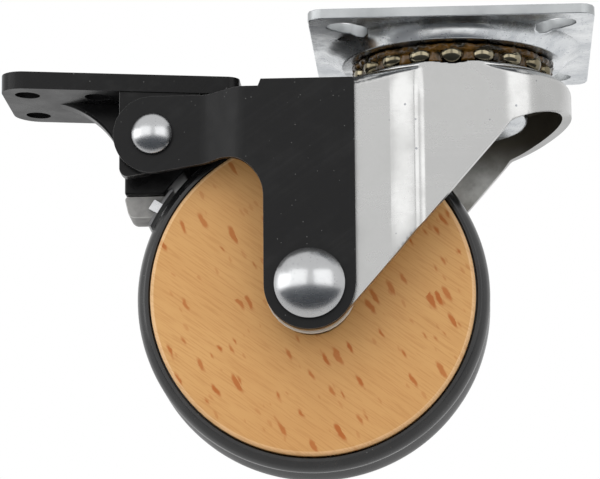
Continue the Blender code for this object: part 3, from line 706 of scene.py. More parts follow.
def smooth_path(points: Sequence[Point], steps: int = 6) -> list[Point]:
    """Run a smooth curve through a few points.

    Args:
        points: Points to pass through.
        steps: Pieces between two points.

    Returns:
        The curve's points, both ends included.
    """
    ends = [points[0], *points, points[-1]]
    path: list[Point] = []
    for i in range(1, len(ends) - 2):
        p0, p1, p2, p3 = (Vector(ends[i + k]) for k in (-1, 0, 1, 2))
        for j in range(steps):
            t = j / steps
            spot = 0.5 * (
                2 * p1 + (p2 - p0) * t + (2 * p0 - 5 * p1 + 4 * p2 - p3) * t**2
                + (3 * p1 - p0 - 3 * p2 + p3) * t**3
            )
            path.append((spot.x, spot.y))
    path.append(tuple(points[-1]))
    return path


def filleted(corners: Sequence[Triple], steps: int = 6, closed: bool = False) -> list[Point]:
    """Round the corners of a path.

    Args:
        corners: Corner points, each with its radius; a radius of 0 stays sharp.
        steps: Pieces in each rounding.
        closed: Whether the last corner joins the first.

    Returns:
        The rounded path's points.
    """
    path: list[Point] = []
    count = len(corners)
    for i, (x, y, radius) in enumerate(corners):
        at_end = not closed and i in (0, count - 1)
        if radius <= 0.0 or at_end:
            path.append((x, y))
            continue
        corner = Vector((x, y))
        back = (Vector(corners[i - 1][:2]) - corner).normalized()
        ahead = (Vector(corners[(i + 1) % count][:2]) - corner).normalized()
        half = back.angle(ahead) / 2
        start = corner + back * (radius / math.tan(half))
        centre = corner + (back + ahead).normalized() * (radius / math.sin(half))
        turn = (back.angle(ahead) - math.pi) * (1 if back.cross(ahead) > 0 else -1)
        spoke = start - centre
        for j in range(steps + 1):
            angle = turn * j / steps
            cos, sin = math.cos(angle), math.sin(angle)
            path.append((centre.x + spoke.x * cos - spoke.y * sin, centre.y + spoke.x * sin + spoke.y * cos))
    return path


def lathe(
    profile: Sequence[Point], centre: Vector, steps: int, axis: Axis = Axis.Y, closed: bool = True
) -> Shape:
    """Spin a profile about an axis.

    Args:
        profile: Points of radius and height along the axis.
        centre: Point on the axis.
        steps: Segments round the axis.
        axis: Y or Z.
        closed: Whether the profile is a ring; an open one ends on the axis.

    Returns:
        The turned shape.
    """
    bm = bmesh.new()
    verts = []
    for radius, height in profile:
        spot = [centre.x + radius, centre.y, centre.z]
        spot[axis.value] += height
        verts.append(bm.verts.new(spot))
    pairs = list(zip(verts, verts[1:]))
    if closed:
        pairs.append((verts[-1], verts[0]))
    edges = [bm.edges.new(pair) for pair in pairs]
    bmesh.ops.spin(
        bm, geom=verts + edges, cent=centre, axis=axis.direction, angle=2 * math.pi,
        steps=steps, use_merge=True,
    )
    return bm


def draw_out(bm: Shape, faces: Sequence[Face], travel: Sequence[float]) -> None:
    """Extrude faces along a vector.

    Args:
        bm: Shape to change.
        faces: Faces to extrude.
        travel: How far, and which way.
    """
    moved = bmesh.ops.extrude_face_region(bm, geom=faces)["geom"]
    verts = [item for item in moved if isinstance(item, bmesh.types.BMVert)]
    bmesh.ops.translate(bm, verts=verts, vec=travel)


def extrude_outline(
    outline: Sequence[Point], low: float, high: float, axis: Axis = Axis.Y,
    holes: Sequence[Sequence[Point]] = (),
) -> Shape:
    """Extrude a flat outline.

    Args:
        outline: Points of X and Z for an extrusion along Y, or of X and Y along Z.
        low: Where the extrusion starts.
        high: Where it ends.
        axis: Y or Z.
        holes: Outlines of the holes through it.

    Returns:
        The closed prism.
    """
    bm = bmesh.new()
    edges = []
    for loop in (outline, *holes):
        verts = []
        for corner in loop:
            spot = list(corner)
            spot.insert(axis.value, low)
            verts.append(bm.verts.new(spot))
        if holes:
            edges += [bm.edges.new(pair) for pair in zip(verts, verts[1:] + verts[:1])]
        else:
            bm.faces.new(verts)
    if holes:
        bmesh.ops.triangle_fill(bm, edges=edges, use_beauty=True)
    draw_out(bm, bm.faces[:], axis.direction * (high - low))
    bmesh.ops.recalc_face_normals(bm, faces=bm.faces)
    return bm


def sharp_edges(bm: Shape, angle: float) -> list[Edge]:
    """Return the edges that turn by more than an angle in degrees."""
    limit = math.radians(angle)
    return [edge for edge in bm.edges if edge.is_manifold and edge.calc_face_angle(0.0) > limit]


def bevel(bm: Shape, edges: Sequence[Edge], width: float, segments: int = 3) -> list[Face]:
    """Round edges.

    Args:
        bm: Shape to change.
        edges: Edges to round.
        width: Width of the rounding.
        segments: Pieces across it.

    Returns:
        The faces of the roundings.
    """
    return bmesh.ops.bevel(
        bm, geom=edges, offset=width, offset_type="OFFSET", affect="EDGES", segments=segments, profile=0.5,
        material=-1, clamp_overlap=True,
    )["faces"]


def soften(bm: Shape, width: float, segments: int = 3, angle: float = BLOCK_EDGE) -> list[Face]:
    """Round every edge that turns by more than an angle, and return the new faces."""
    return bevel(bm, sharp_edges(bm, angle), width, segments)


def mark(faces: Sequence[Face]) -> None:
    """Give faces the second finish of their piece."""
    for face in faces:
        face.material_index = 1


def everything(bm: Shape) -> list[Any]:
    """Return all the vertices, edges and faces of a shape."""
    return bm.verts[:] + bm.edges[:] + bm.faces[:]


def cut_across(bm: Shape, spots: Sequence[float], axis: Axis) -> None:
    """Cut a shape by planes square to an axis, so that it can bend there.

    Args:
        bm: Shape to cut.
        spots: Where the planes stand along the axis.
        axis: Axis that they are square to.
    """
    normal = axis.direction
    for spot in spots:
        bmesh.ops.bisect_plane(bm, geom=everything(bm), dist=MERGE, plane_co=normal * spot, plane_no=normal)


def mirror_across(bm: Shape) -> None:
    """Add the far half of a shape whose near half ends open at Y = 0.

    Args:
        bm: Shape to complete.
    """
    lids = [face for face in bm.faces if all(abs(vert.co.y) < 10 * MERGE for vert in face.verts)]
    bmesh.ops.delete(bm, geom=lids, context="FACES_ONLY")
    bmesh.ops.mirror(bm, geom=everything(bm), axis="Y", merge_dist=20 * MERGE)
    bmesh.ops.delete(bm, geom=[edge for edge in bm.edges if edge.is_wire], context="EDGES")


def join(parts: Sequence[Shape]) -> Shape:
    """Make one shape of several, and free them.

    Args:
        parts: Shapes to join.

    Returns:
        The joined shape.
    """
    whole = bmesh.new()
    for part in parts:
        scratch = bpy.data.meshes.new("part")
        part.to_mesh(scratch)
        part.free()
        whole.from_mesh(scratch)
        bpy.data.meshes.remove(scratch)
    return whole


def publish(bm: Shape, name: str, body: Body, slot: Slot, nodes: Sequence[str], *finishes: Material) -> None:
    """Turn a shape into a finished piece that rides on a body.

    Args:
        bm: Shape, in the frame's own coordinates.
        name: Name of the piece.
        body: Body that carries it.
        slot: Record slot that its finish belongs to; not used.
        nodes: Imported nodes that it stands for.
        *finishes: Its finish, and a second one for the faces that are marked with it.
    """
    bmesh.ops.remove_doubles(bm, verts=bm.verts, dist=MERGE)
    bmesh.ops.dissolve_degenerate(bm, dist=MERGE, edges=bm.edges)
    bmesh.ops.recalc_face_normals(bm, faces=bm.faces)
    mesh = bpy.data.meshes.new(name)
    bm.to_mesh(mesh)
    bm.free()
    mesh.shade_smooth()
    mesh.set_sharp_from_angle(angle=HARD_EDGE)
    for finish in finishes:
        mesh.materials.append(finish)
    piece = bpy.data.objects.new(name, mesh)
    bpy.context.scene.collection.objects.link(piece)
    even = piece.modifiers.new("even_shading", "WEIGHTED_NORMAL")
    even.keep_sharp = True
    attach(piece, body.value)
    if nodes:
        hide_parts(*nodes)
    LOG.info("%s: %d faces on %s", name, len(mesh.polygons), body.value)


def skin(bm: Shape, node: str, body: Body, slot: Slot, *finishes: Material) -> None:
    """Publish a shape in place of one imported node."""
    publish(bm, f"{node}_skin", body, slot, [node], *finishes)


def pick(materials: dict[str, Material], *names: str) -> list[Material]:
    """Return the materials of some finishes."""
    return [materials[name] for name in names]


@dataclass
class BrakeBracket:
    """Black pressed bracket: two side plates, joggled in at the pedal, and a bent bridge."""

    axle: Vector
    pivot: Vector
    material: Material
    # Lighter finish of the rounded edges, a painted highlight.
    edge_highlight: Material
    outer_y: float = 22.4 * MM
    lobe_y: float = 16.7 * MM
    sheet: float = 1.5 * MM
    top: float = -12.8 * MM
    back_x: float = -20.6 * MM
    back_round: float = 0.5 * MM
    neck_r: float = 9.6 * MM
    neck_cuts: int = 48
    crotch_r: float = 9.0 * MM
    crotch_drop: float = 25.2 * MM
    crotch_turn: float = 105.0
    crotch_cuts: int = 28
    lobe_r: float = 8.3 * MM
    lobe_turn: Point = (-75.0, -270.0)
    lobe_cuts: int = 56
    step_x: float = -40.3 * MM
    step_drop: float = 1.5 * MM
    step_run: float = 0.6 * MM
    joggle: Point = (-52.4 * MM, -45.0 * MM)
    joggle_lead: float = 1.2 * MM
    joggle_reach: float = 1.5 * MM
    joggle_cuts: int = 15
    bridge: Point = (-37.5 * MM, -27.0 * MM)
    axle_bore: float = 4.15 * MM
    pin_bore: float = 2.65 * MM
    edge: float = 0.28 * MM

    def outline(self) -> list[Point]:
        """Draw the side plate's outline.

        Returns:
            Points of X and Z.
        """
        ledge = self.top - self.step_drop
        crotch = (self.axle.x - self.neck_r - self.crotch_r, self.top - self.crotch_drop)
        corner = (self.back_x, self.top, self.back_round)
        path = filleted([(self.step_x, self.top, 0.0), corner, (self.back_x, self.axle.z, 0.0)])
        path += swing(self.axle.xz, self.neck_r, 0.0, -180.0, self.neck_cuts)[1:]
        path += swing(crotch, self.crotch_r, 0.0, self.crotch_turn, self.crotch_cuts)
        path += swing(self.pivot.xz, self.lobe_r, *self.lobe_turn, self.lobe_cuts)
        path += [(self.joggle[0], self.pivot.z + self.lobe_r), (self.joggle[1], ledge)]
        return path + [(self.step_x - self.step_run, ledge)]

    def build(self) -> None:
        """Press the near plate, give it half the bridge, round its edges, joggle it and mirror it."""
        inner = self.sheet - self.outer_y
        holes = [ring(self.axle.xz, self.axle_bore), ring(self.pivot.xz, self.pin_bore)]
        bm = extrude_outline(self.outline(), -self.outer_y, inner, holes=holes)
        self.draw_bridge(bm, -inner)
        edges = [edge for edge in sharp_edges(bm, CUT_EDGE) if any(vert.co.y < -MERGE for vert in edge.verts)]
        # The rounded edges take the lighter finish, a painted highlight.
        mark(bevel(bm, edges, self.edge))
        self.step_in(bm)
        mirror_across(bm)
        skin(bm, "brake_bracket", Body.SWIVEL, Slot.BLACK_PAINT, self.material, self.edge_highlight)

    def draw_bridge(self, bm: Shape, reach: float) -> None:
        """Draw half the bridge out of the plate's inner face, as far as the middle.

        Args:
            bm: The near plate.
            reach: How far the middle lies from the plate.
        """
        cut_across(bm, self.bridge, Axis.X)
        cut_across(bm, [self.top - self.sheet], Axis.Z)
        front, back = self.bridge
        root = []
        for face in bm.faces:
            spot = face.calc_center_median()
            if face.normal.y > FACING and front < spot.x < back and spot.z > self.top - self.sheet:
                root.append(face)
        draw_out(bm, root, (0.0, reach, 0.0))
        bmesh.ops.delete(bm, geom=[face for face in root if face.is_valid], context="FACES_ONLY")
        bmesh.ops.recalc_face_normals(bm, faces=bm.faces)

    def step_in(self, bm: Shape) -> None:
        """Step the plate inwards towards the pedal.

        Args:
            bm: The near plate.
        """
        start, stop = self.joggle
        cut_across(bm, spread(start - self.joggle_reach, stop + self.joggle_reach, self.joggle_cuts), Axis.X)
        run = stop - start + 2 * self.joggle_lead
        for vert in bm.verts:
            share = (stop + self.joggle_lead - vert.co.x) / run
            vert.co.y += (self.outer_y - self.lobe_y) * ease(min(1.0, max(0.0, share)))


@dataclass
class Fork:
    """Pressed fork, laid out flat and bent to shape, under a turned crown."""

    axle: Vector
    material: Material
    # Finish of the inner faces, with a painted shade towards the crown.
    inside: Material
    flat_y: float = 20.6 * MM
    sheet: float = 2.0 * MM
    skirt_r: float = 25.5 * MM
    fillet: float = 11.0 * MM
    roll: float = 2.5 * MM
    shelf: float = 1.7 * MM
    wall_top: float = -12.7 * MM
    leg_front_x: float = -24.5 * MM
    leg_back: Point = (12.6 * MM, -22.0 * MM)
    heel_round: float = 2.0 * MM
    skirt_foot: float = -17.4 * MM
    front_top: float = -13.0 * MM
    front_x: Triple = (-22.8 * MM, -21.5 * MM, -20.9 * MM)
    front_lift: float = 0.3 * MM
    flat_from: float = -21.4 * MM
    end_r: float = 9.4 * MM
    bead_x: Point = (-13.2 * MM, -6.0 * MM)
    bead_crest: float = 0.72
    bead_h: float = 0.85 * MM
    bead_z: Point = (-52.0 * MM, -9.0 * MM)
    bead_fade: Point = (7.0 * MM, 9.0 * MM)
    stretch_from: float = -19.0 * MM
    land: float = -10.2 * MM
    rise: Point = (0.7 * MM, 3.4 * MM)
    rise_over: float = 4.5 * MM
    crown_r: float = 21.8 * MM
    crown_top: float = -9.4 * MM
    crown_under: float = -12.0 * MM
    crown_steps: int = 160
    rim_h: float = 1.9 * MM
    rim_round: float = 0.6 * MM
    rim_lip: float = 1.2 * MM
    race_r: float = 18.8 * MM
    groove_half: float = 2.17 * MM
    groove_depth: float = 0.95 * MM
    groove_flank: float = 0.7
    groove_lead: float = 0.7 * MM
    bore_r: float = 5.3 * MM
    axle_bore: float = 4.15 * MM
    seat: float = 0.12 * MM
    edge: float = 0.3 * MM
    hem_cuts: int = 16
    end_cuts: int = 40
    skirt_cuts: int = 34
    flat_cuts: int = 44
    bead_cuts: int = 29
    roll_cuts: int = 9
    fade_cuts: tuple[int, int] = (8, 7)

    def __post_init__(self) -> None:
        """Work out where the flat, the join and the skirt begin along the sheet."""
        lift = self.flat_y - self.fillet
        self.join_x = math.sqrt((self.skirt_r - self.fillet) ** 2 - lift**2)
        self.join_turn = math.atan2(lift, self.join_x)
        self.skirt_s = self.join_x + self.fillet * (math.pi / 2 - self.join_turn)
        self.end_s = self.skirt_s + self.skirt_r * self.join_turn
        self.quarter = self.roll * math.pi / 2
        self.flat_top = self.wall_top + self.quarter + self.shelf

    def plan(self, s: float) -> tuple[Vector, Vector]:
        """Find the wall in plan.

        Args:
            s: Length along the sheet.

        Returns:
            The wall's place and its inward direction.
        """
        if s <= self.join_x:
            return Vector((s, -self.flat_y)), Vector((0.0, 1.0))
        if s <= self.skirt_s:
            turn = (s - self.join_x) / self.fillet - math.pi / 2
            spoke = Vector((math.cos(turn), math.sin(turn)))
            return Vector((self.join_x, self.fillet - self.flat_y)) + spoke * self.fillet, -spoke
        turn = (s - self.skirt_s) / self.skirt_r - self.join_turn
        spoke = Vector((math.cos(turn), math.sin(turn)))
        return spoke * self.skirt_r, -spoke

    def pattern(self) -> list[Point]:
        """Draw the flat outline of half the fork: one leg and half the skirt.

        Returns:
            Points of length along the sheet and height.
        """
        first = self.touch(self.leg_back, -1)
        last = self.touch((self.leg_front_x, self.front_top), 1)
        back_x, back_z = self.leg_back
        path = [(self.end_s, self.flat_top), (self.end_s, self.skirt_foot)]
        for s in spread(self.end_s, back_x, self.hem_cuts)[1:-1]:
            share = (self.plan(s)[0].x - back_x) / (self.skirt_r - back_x)
            path.append((s, back_z + (self.skirt_foot - back_z) * max(0.0, share)))
        leg_end = swing(self.axle.xz, self.end_r, first, last - 360.0, self.end_cuts)
        path += filleted([(*path[-1], 0.0), (*self.leg_back, self.heel_round), (*leg_end[0], 0.0)])[1:-1]
        heights = (self.wall_top + self.front_lift, self.wall_top + self.roll, self.flat_top)
        front = [(self.leg_front_x, self.front_top), *zip(self.front_x, heights)]
        return path + leg_end + smooth_path(front)

    def touch(self, point: Point, side: int) -> float:
        """Return the angle, in degrees, where a line from a point touches the leg's round end."""
        offset = Vector((point[0] - self.axle.x, point[1] - self.axle.z))
        return math.degrees(math.atan2(offset.y, offset.x) + side * math.acos(self.end_r / offset.length))

    def reach(self, spot: Vector, inward: Vector) -> float:
        """Return how far the crown's rim lies inwards from a place on the wall."""
        along = spot.dot(inward)
        return max(0.0, -along - math.sqrt(max(0.0, along**2 - spot.length_squared + self.crown_r**2)))

    def bend(self, bm: Shape) -> None:
        """Bend the flat sheet: press the bead, wrap the skirt and roll the shoulder up to the crown.

        Args:
            bm: The flat sheet.
        """
        for vert in bm.verts:
            s, depth, t = vert.co.x, vert.co.y, vert.co.z
            spot, normal = self.plan(s)
            reach = self.reach(spot, normal)
            rise = self.rise[0] + self.rise[1] * (1 - math.exp(-reach / self.rise_over))
            wall = self.land - rise
            over = t - self.wall_top
            turn = min(max(0.0, over / self.quarter), 1.0) * math.pi / 2
            inward = reach * (1 - math.cos(turn)) + depth * math.cos(turn) + max(0.0, over - self.quarter)
            height = wall + (rise - depth) * math.sin(turn)
            if over < 0.0:
                share = (t - self.stretch_from) / (self.wall_top - self.stretch_from)
                height = t + (wall - self.wall_top) * min(1.0, max(0.0, share))
            spot = spot + normal * (inward - self.bump(s, t))
            vert.co = (spot.x, spot.y, height)

    def bump(self, s: float, t: float) -> float:
        """Work out how far the stiffening bead stands out.

        Args:
            s: Length along the sheet.
            t: Height on the sheet.

        Returns:
            The bead's height there.
        """
        across = (s - self.bead_x[0]) / (self.bead_x[1] - self.bead_x[0])
        low, high = self.bead_z
        run = min((t - low) / self.bead_fade[0], (high - t) / self.bead_fade[1], 1.0)
        slope = min(across / self.bead_crest, (1.0 - across) / (1.0 - self.bead_crest))
        if slope <= 0.0 or run <= 0.0:
            return 0.0
        eased = slope - math.sin(2 * math.pi * slope) / (4 * math.pi)
        return self.bead_h * eased * ease(run)

    def build(self) -> None:
        """Bend both legs from the flat pattern and set the crown on them."""
        bm = extrude_outline(self.pattern(), 0.0, self.sheet, holes=[ring(self.axle.xz, self.axle_bore)])
        end = self.end_s - MERGE
        edges = [edge for edge in sharp_edges(bm, CUT_EDGE) if any(vert.co.x < end for vert in edge.verts)]
        bevel(bm, edges, self.edge)
        # The inner faces take the finish with the painted shade.
        mark([face for face in bm.faces if face.normal.y > FACING])
        self.cut(bm)
        self.bend(bm)
        mirror_across(bm)
        whole = join([bm, self.crown()])
        skin(whole, "fork", Body.SWIVEL, Slot.CHROME, self.material, self.inside)

    def cut(self, bm: Shape) -> None:
        """Cut the flat sheet finely wherever it bends.

        Args:
            bm: The flat sheet.
        """
        low, high = self.bead_z
        cut_across(bm, spread(self.join_x, self.end_s, self.skirt_cuts)[:-1], Axis.X)
        cut_across(bm, spread(self.flat_from, self.join_x, self.flat_cuts)[:-1], Axis.X)
        cut_across(bm, spread(*self.bead_x, self.bead_cuts), Axis.X)
        cut_across(bm, spread(self.wall_top, self.wall_top + self.quarter, self.roll_cuts), Axis.Z)
        cut_across(bm, spread(low, low + self.bead_fade[0], self.fade_cuts[0]) + [self.stretch_from], Axis.Z)
        cut_across(bm, spread(high - self.bead_fade[1], self.wall_top, self.fade_cuts[1]), Axis.Z)

    def crown(self) -> Shape:
        """Turn the crown and trim it to the fork's width.

        Returns:
            The crown's shape.
        """
        bm = lathe(self.crown_profile(), Vector(), self.crown_steps, Axis.Z)
        brim = self.flat_y - self.seat
        for vert in bm.verts:
            vert.co.y = min(brim, max(-brim, vert.co.y))
        return bm

    def crown_profile(self) -> list[Point]:
        """Draw the crown's section: a rolled rim, the ball groove and the kingpin's bore.

        Returns:
            Points of radius and height.
        """
        top, under = self.crown_top, self.crown_under
        inner, outer = self.race_r - self.groove_half, self.race_r + self.groove_half
        flank = top - self.groove_depth * self.groove_flank
        groove = [
            (inner, top), (inner + self.groove_lead, flank), (self.race_r, top - self.groove_depth),
            (outer - self.groove_lead, flank), (outer, top),
        ]
        rim = [
            (outer, top, 0.0), (self.crown_r, top, self.rim_round),
            (self.crown_r, top - self.rim_h, self.rim_round), (self.flat_y - self.rim_lip, under, 0.0),
        ]
        return [(self.bore_r, under), (self.bore_r, top)] + smooth_path(groove, 4) + filleted(rim, 5)[1:]


@dataclass
class Pedal:
    """Moulded brake pedal with its pad, cheeks, core and rib, and the shoe and leaf under it."""

    axle: Vector
    pivot: Vector
    materials: dict[str, Material]
    pad_x: Point = (-97.0 * MM, -45.4 * MM)
    pad_half: float = 15.0 * MM
    pad_t: float = 3.8 * MM
    pad_lift: float = 9.7 * MM
    pad_tilt: float = math.radians(2.8)
    pad_edge: float = 0.6 * MM
    corners: Point = (5.5 * MM, 2.4 * MM)
    hole_r: float = 2.7 * MM
    hole_x: Point = (-91.5 * MM, -76.4 * MM)
    hole_y: float = 9.0 * MM
    front: float = -71.0 * MM
    cheek_y: Point = (11.6 * MM, 14.6 * MM)
    cheek_foot: float = -31.9 * MM
    cheek_knee: float = 1.0 * MM
    cheek_rounds: Point = (1.8 * MM, 6.0 * MM)
    cheek_edge: float = 0.2 * MM
    heel_run: float = 10.0 * MM
    heel_lift: float = 0.3 * MM
    pin_bore: float = 2.65 * MM
    wall_t: float = 2.4 * MM
    wall_foot: float = -28.1 * MM
    wall_edge: float = 0.4 * MM
    core_half: float = 6.2 * MM
    core_x: Point = (-70.7 * MM, -57.8 * MM)
    core_z: Point = (-33.7 * MM, -19.1 * MM)
    core_edge: float = 0.5 * MM
    rib_half: float = 2.5 * MM
    rib_reach: float = 19.5 * MM
    rib_lift: float = 2.0 * MM
    rib_sink: float = 0.4 * MM
    rib_edge: float = 1.1 * MM
    clear_r: float = 39.5 * MM
    shoe_half: float = 4.6 * MM
    shoe_r: float = 39.2 * MM
    shoe_x: Point = (-69.9 * MM, -71.0 * MM)
    shoe_z: Point = (-38.5 * MM, -33.8 * MM)
    shoe_rounds: Point = (1.7 * MM, 0.7 * MM)
    shoe_edge: float = 0.3 * MM
    leaf_r: Point = (38.4 * MM, 39.1 * MM)
    leaf_half: float = 6.0 * MM
    leaf_turn: Point = (155.0, 141.0)
    leaf_edge: float = 0.12 * MM
    tab_r: float = 40.6 * MM
    tab_turn: Point = (150.4, 146.8)
    tab_proud: float = 0.1 * MM
    arc_cuts: int = 16
    core_cuts: int = 12
    rib_cuts: int = 33

    def build(self) -> None:
        """Build the pedal, the shoe and the leaf."""
        whole = join([self.pad(), self.cheek(-1), self.cheek(1), self.wall(), self.core(), self.rib()])
        finishes = pick(self.materials, "black_plastic", "painted_edge_highlight")
        skin(whole, "brake_pedal", Body.BRAKE, Slot.BLACK_PLASTIC, *finishes)
        self.shoe()
        self.leaf()

    def underside(self, x: float) -> float:
        """Return the height of the tilted pad's underside."""
        return self.pivot.z + self.pad_lift + (self.pivot.x - x) * math.tan(self.pad_tilt)

    def within(self, x: float) -> Point:
        """Return the point halfway up the pad's thickness, where the parts below run into it."""
        return x, self.underside(x) + self.pad_t / 2

    def pad(self) -> Shape:
        """Mould the flat pad with its four holes.

        Returns:
            The pad's shape.
        """
        (front, back), half = self.pad_x, self.pad_half
        toe, heel = self.corners
        corners = [(front, -half, toe), (back, -half, heel), (back, half, heel), (front, half, toe)]
        holes = [ring((x, y), self.hole_r) for x in self.hole_x for y in (-self.hole_y, self.hole_y)]
        bm = extrude_outline(filleted(corners, 10, closed=True), 0.0, self.pad_t, Axis.Z, holes)
        soften(bm, self.pad_edge, 4, ROUND_EDGE)
        for vert in bm.verts:
            vert.co.z += self.underside(vert.co.x)
        return bm

    def cheek(self, side: int) -> Shape:
        """Return one cheek, which carries the pin and clears the tyre.

        Args:
            side: -1 for the near cheek, 1 for the far one.

        Returns:
            The cheek's shape.
        """
        heel_x = self.pivot.x + self.heel_run
        heel_z = self.axle.z + math.sqrt(self.clear_r**2 - (heel_x - self.axle.x) ** 2) + self.heel_lift
        toe_round, knee_round = self.cheek_rounds
        corners = [
            (*self.within(self.front), 0.0), (self.front, self.cheek_foot, toe_round),
            (self.pivot.x - self.cheek_knee, self.cheek_foot + self.cheek_knee, knee_round),
            (heel_x, heel_z, 0.0), (*self.within(heel_x), 0.0),
        ]
        low, high = sorted(side * y for y in self.cheek_y)
        holes = [ring(self.pivot.xz, self.pin_bore)]
        bm = extrude_outline(filleted(corners, 8, closed=True), low, high, holes=holes)
        # The cheek's rounded edges take the lighter finish, a painted highlight.
        mark(soften(bm, self.cheek_edge, angle=CUT_EDGE))
        return bm

    def wall(self) -> Shape:
        """Mould the wall that joins the cheeks at the front.

        Returns:
            The wall's shape.
        """
        back, top = self.front + self.wall_t, self.within(self.front)[1]
        half = sum(self.cheek_y) / 2
        outline = [(self.front, self.wall_foot), (back, self.wall_foot), (back, top), (self.front, top)]
        bm = extrude_outline(outline, -half, half)
        soften(bm, self.wall_edge)
        return bm

    def core(self) -> Shape:
        """Mould the block between the cheeks that carries the shoe.

        Returns:
            The block's shape.
        """
        (front, back), (low, high) = self.core_x, self.core_z
        start = math.degrees(math.acos((back - self.axle.x) / self.clear_r))
        end = math.degrees(math.pi - math.asin((low - self.axle.z) / self.clear_r))
        outline = [(back, high), (front, high), (front, low)]
        outline += swing(self.axle.xz, self.clear_r, end, start, self.core_cuts)
        holes = [ring(self.pivot.xz, self.pin_bore)]
        bm = extrude_outline(outline, -self.core_half, self.core_half, holes=holes)
        soften(bm, self.core_edge)
        return bm

    def rib(self) -> Shape:
        """Mould the curved rib under the pad.

        Returns:
            The rib's shape.
        """
        toe = self.front - self.rib_reach
        back = self.front + self.wall_t / 2
        foot = self.cheek_foot + self.rib_lift
        rise = self.underside(toe) - foot + self.rib_sink
        outline = [self.within(back), self.within(toe)]
        for turn in spread(0.0, math.pi / 2, self.rib_cuts):
            outline.append((toe + self.rib_reach * math.sin(turn), foot + rise * math.cos(turn)))
        outline.append((back, foot))
        bm = extrude_outline(outline, -self.rib_half, self.rib_half)
        soften(bm, self.rib_edge, 6, ROUND_EDGE)
        return bm

    def shoe(self) -> None:
        """Build the block that the pedal presses on the tyre."""
        low, high = self.shoe_z
        start, end = (180.0 - math.degrees(math.asin((z - self.axle.z) / self.shoe_r)) for z in (high, low))
        outline = swing(self.axle.xz, self.shoe_r, start, end, self.arc_cuts)
        corners = [(x, z, r) for x, z, r in zip(self.shoe_x, self.shoe_z, self.shoe_rounds)]
        outline += filleted([(*outline[-1], 0.0), *corners, (*outline[0], 0.0)], 8)[1:-1]
        bm = extrude_outline(outline, -self.shoe_half, self.shoe_half)
        # The shoe's rounded edges take the paler finish, a painted highlight.
        mark(soften(bm, self.shoe_edge, angle=CUT_EDGE))
        finishes = pick(self.materials, "dark_plastic", "painted_shoe_edge_highlight")
        skin(bm, "brake_shoe", Body.BRAKE, Slot.DARK_PLASTIC, *finishes)

    def leaf(self) -> None:
        """Build the spring leaf between the shoe and the tyre, with its bright tab."""
        rows = (
            (self.leaf_r, self.leaf_turn, self.leaf_half),
            ((self.leaf_r[0], self.tab_r), self.tab_turn, self.leaf_half + self.tab_proud),
        )
        parts = []
        for (near, far), (start, end), half in rows:
            outline = swing(self.axle.xz, near, start, end, self.arc_cuts)
            outline += swing(self.axle.xz, far, end, start, self.arc_cuts)
            part = extrude_outline(outline, -half, half)
            soften(part, self.leaf_edge, 2, CUT_EDGE)
            parts.append(part)
        mark(parts[1].faces)
        finishes = pick(self.materials, "spring_steel", "bright_dome")
        skin(join(parts), "brake_leaf", Body.BRAKE, Slot.STEEL, *finishes)


@dataclass
class PlainPieces:
    """Lower race cup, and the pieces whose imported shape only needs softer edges."""

    packed: dict[str, bpy.types.Object]
    materials: dict[str, Material]
    cup_sheet: float = 1.6 * MM
    cup_bore: float = 5.3 * MM
    cup_round: float = 2.2 * MM
    cup_rim: float = 0.3 * MM
    cup_steps: int = 128
    steep: float = 0.6

    def race_cup(self) -> None:
        """Turn the lower race cup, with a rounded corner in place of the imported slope."""
        low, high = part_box("lower_race_cup")
        outer, under, rim = high[0], low[2], high[2]
        inner, floor = outer - self.cup_sheet, under + self.cup_sheet
        corners = [
            (self.cup_bore, under, 0.0), (outer, under, self.cup_round), (outer, rim, self.cup_rim),
            (inner, rim, self.cup_rim), (inner, floor, self.cup_round - self.cup_sheet),
            (self.cup_bore, floor, 0.0),
        ]
        bm = lathe(filleted(corners, 6, closed=True), Vector(), self.cup_steps, Axis.Z)
        skin(bm, "lower_race_cup", Body.PLATE, Slot.ZINC, self.materials["zinc"])

    def copy(self, node: str) -> Shape:
        """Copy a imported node's mesh, merged and with its flat faces joined up.

        Args:
            node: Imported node.

        Returns:
            The copy.
        """
        bm = bmesh.new()
        bm.from_mesh(self.packed[node].data)
        bmesh.ops.remove_doubles(bm, verts=bm.verts, dist=MERGE)
        bmesh.ops.dissolve_limit(
            bm, angle_limit=FLAT, verts=bm.verts, edges=bm.edges, use_dissolve_boundaries=False
        )
        return bm

    def build(self) -> None:
        """Turn the cup, then copy each node, soften its edges and give it its finish."""
        self.race_cup()
        rows = (
            ("top_plate", Body.PLATE, Slot.ZINC, 0.35, ("zinc", "zinc_edge")),
            ("kingpin", Body.PLATE, Slot.ZINC, 0.25, ("zinc",)),
            ("lower_thrust_ring", Body.SWIVEL, Slot.NYLON, 0.30, ("nylon",)),
            ("axle_sleeve", Body.SWIVEL, Slot.STEEL, 0.20, ("steel",)),
            ("washer_near", Body.SWIVEL, Slot.ZINC, 0.20, ("zinc",)),
            ("washer_far", Body.SWIVEL, Slot.ZINC, 0.20, ("zinc",)),
            ("wheel_hub", Body.WHEEL, Slot.BLACK_PLASTIC, 0.30, ("black_plastic",)),
            ("bush_near", Body.WHEEL, Slot.NYLON, 0.20, ("nylon",)),
            ("bush_far", Body.WHEEL, Slot.NYLON, 0.20, ("nylon",)),
        )
        for node, body, slot, width, finishes in rows:
            bm = self.copy(node)
            soften(bm, width * MM)
            if len(finishes) > 1:
                mark([face for face in bm.faces if abs(face.normal.z) < self.steep])
            skin(bm, node, body, slot, *pick(self.materials, *finishes))


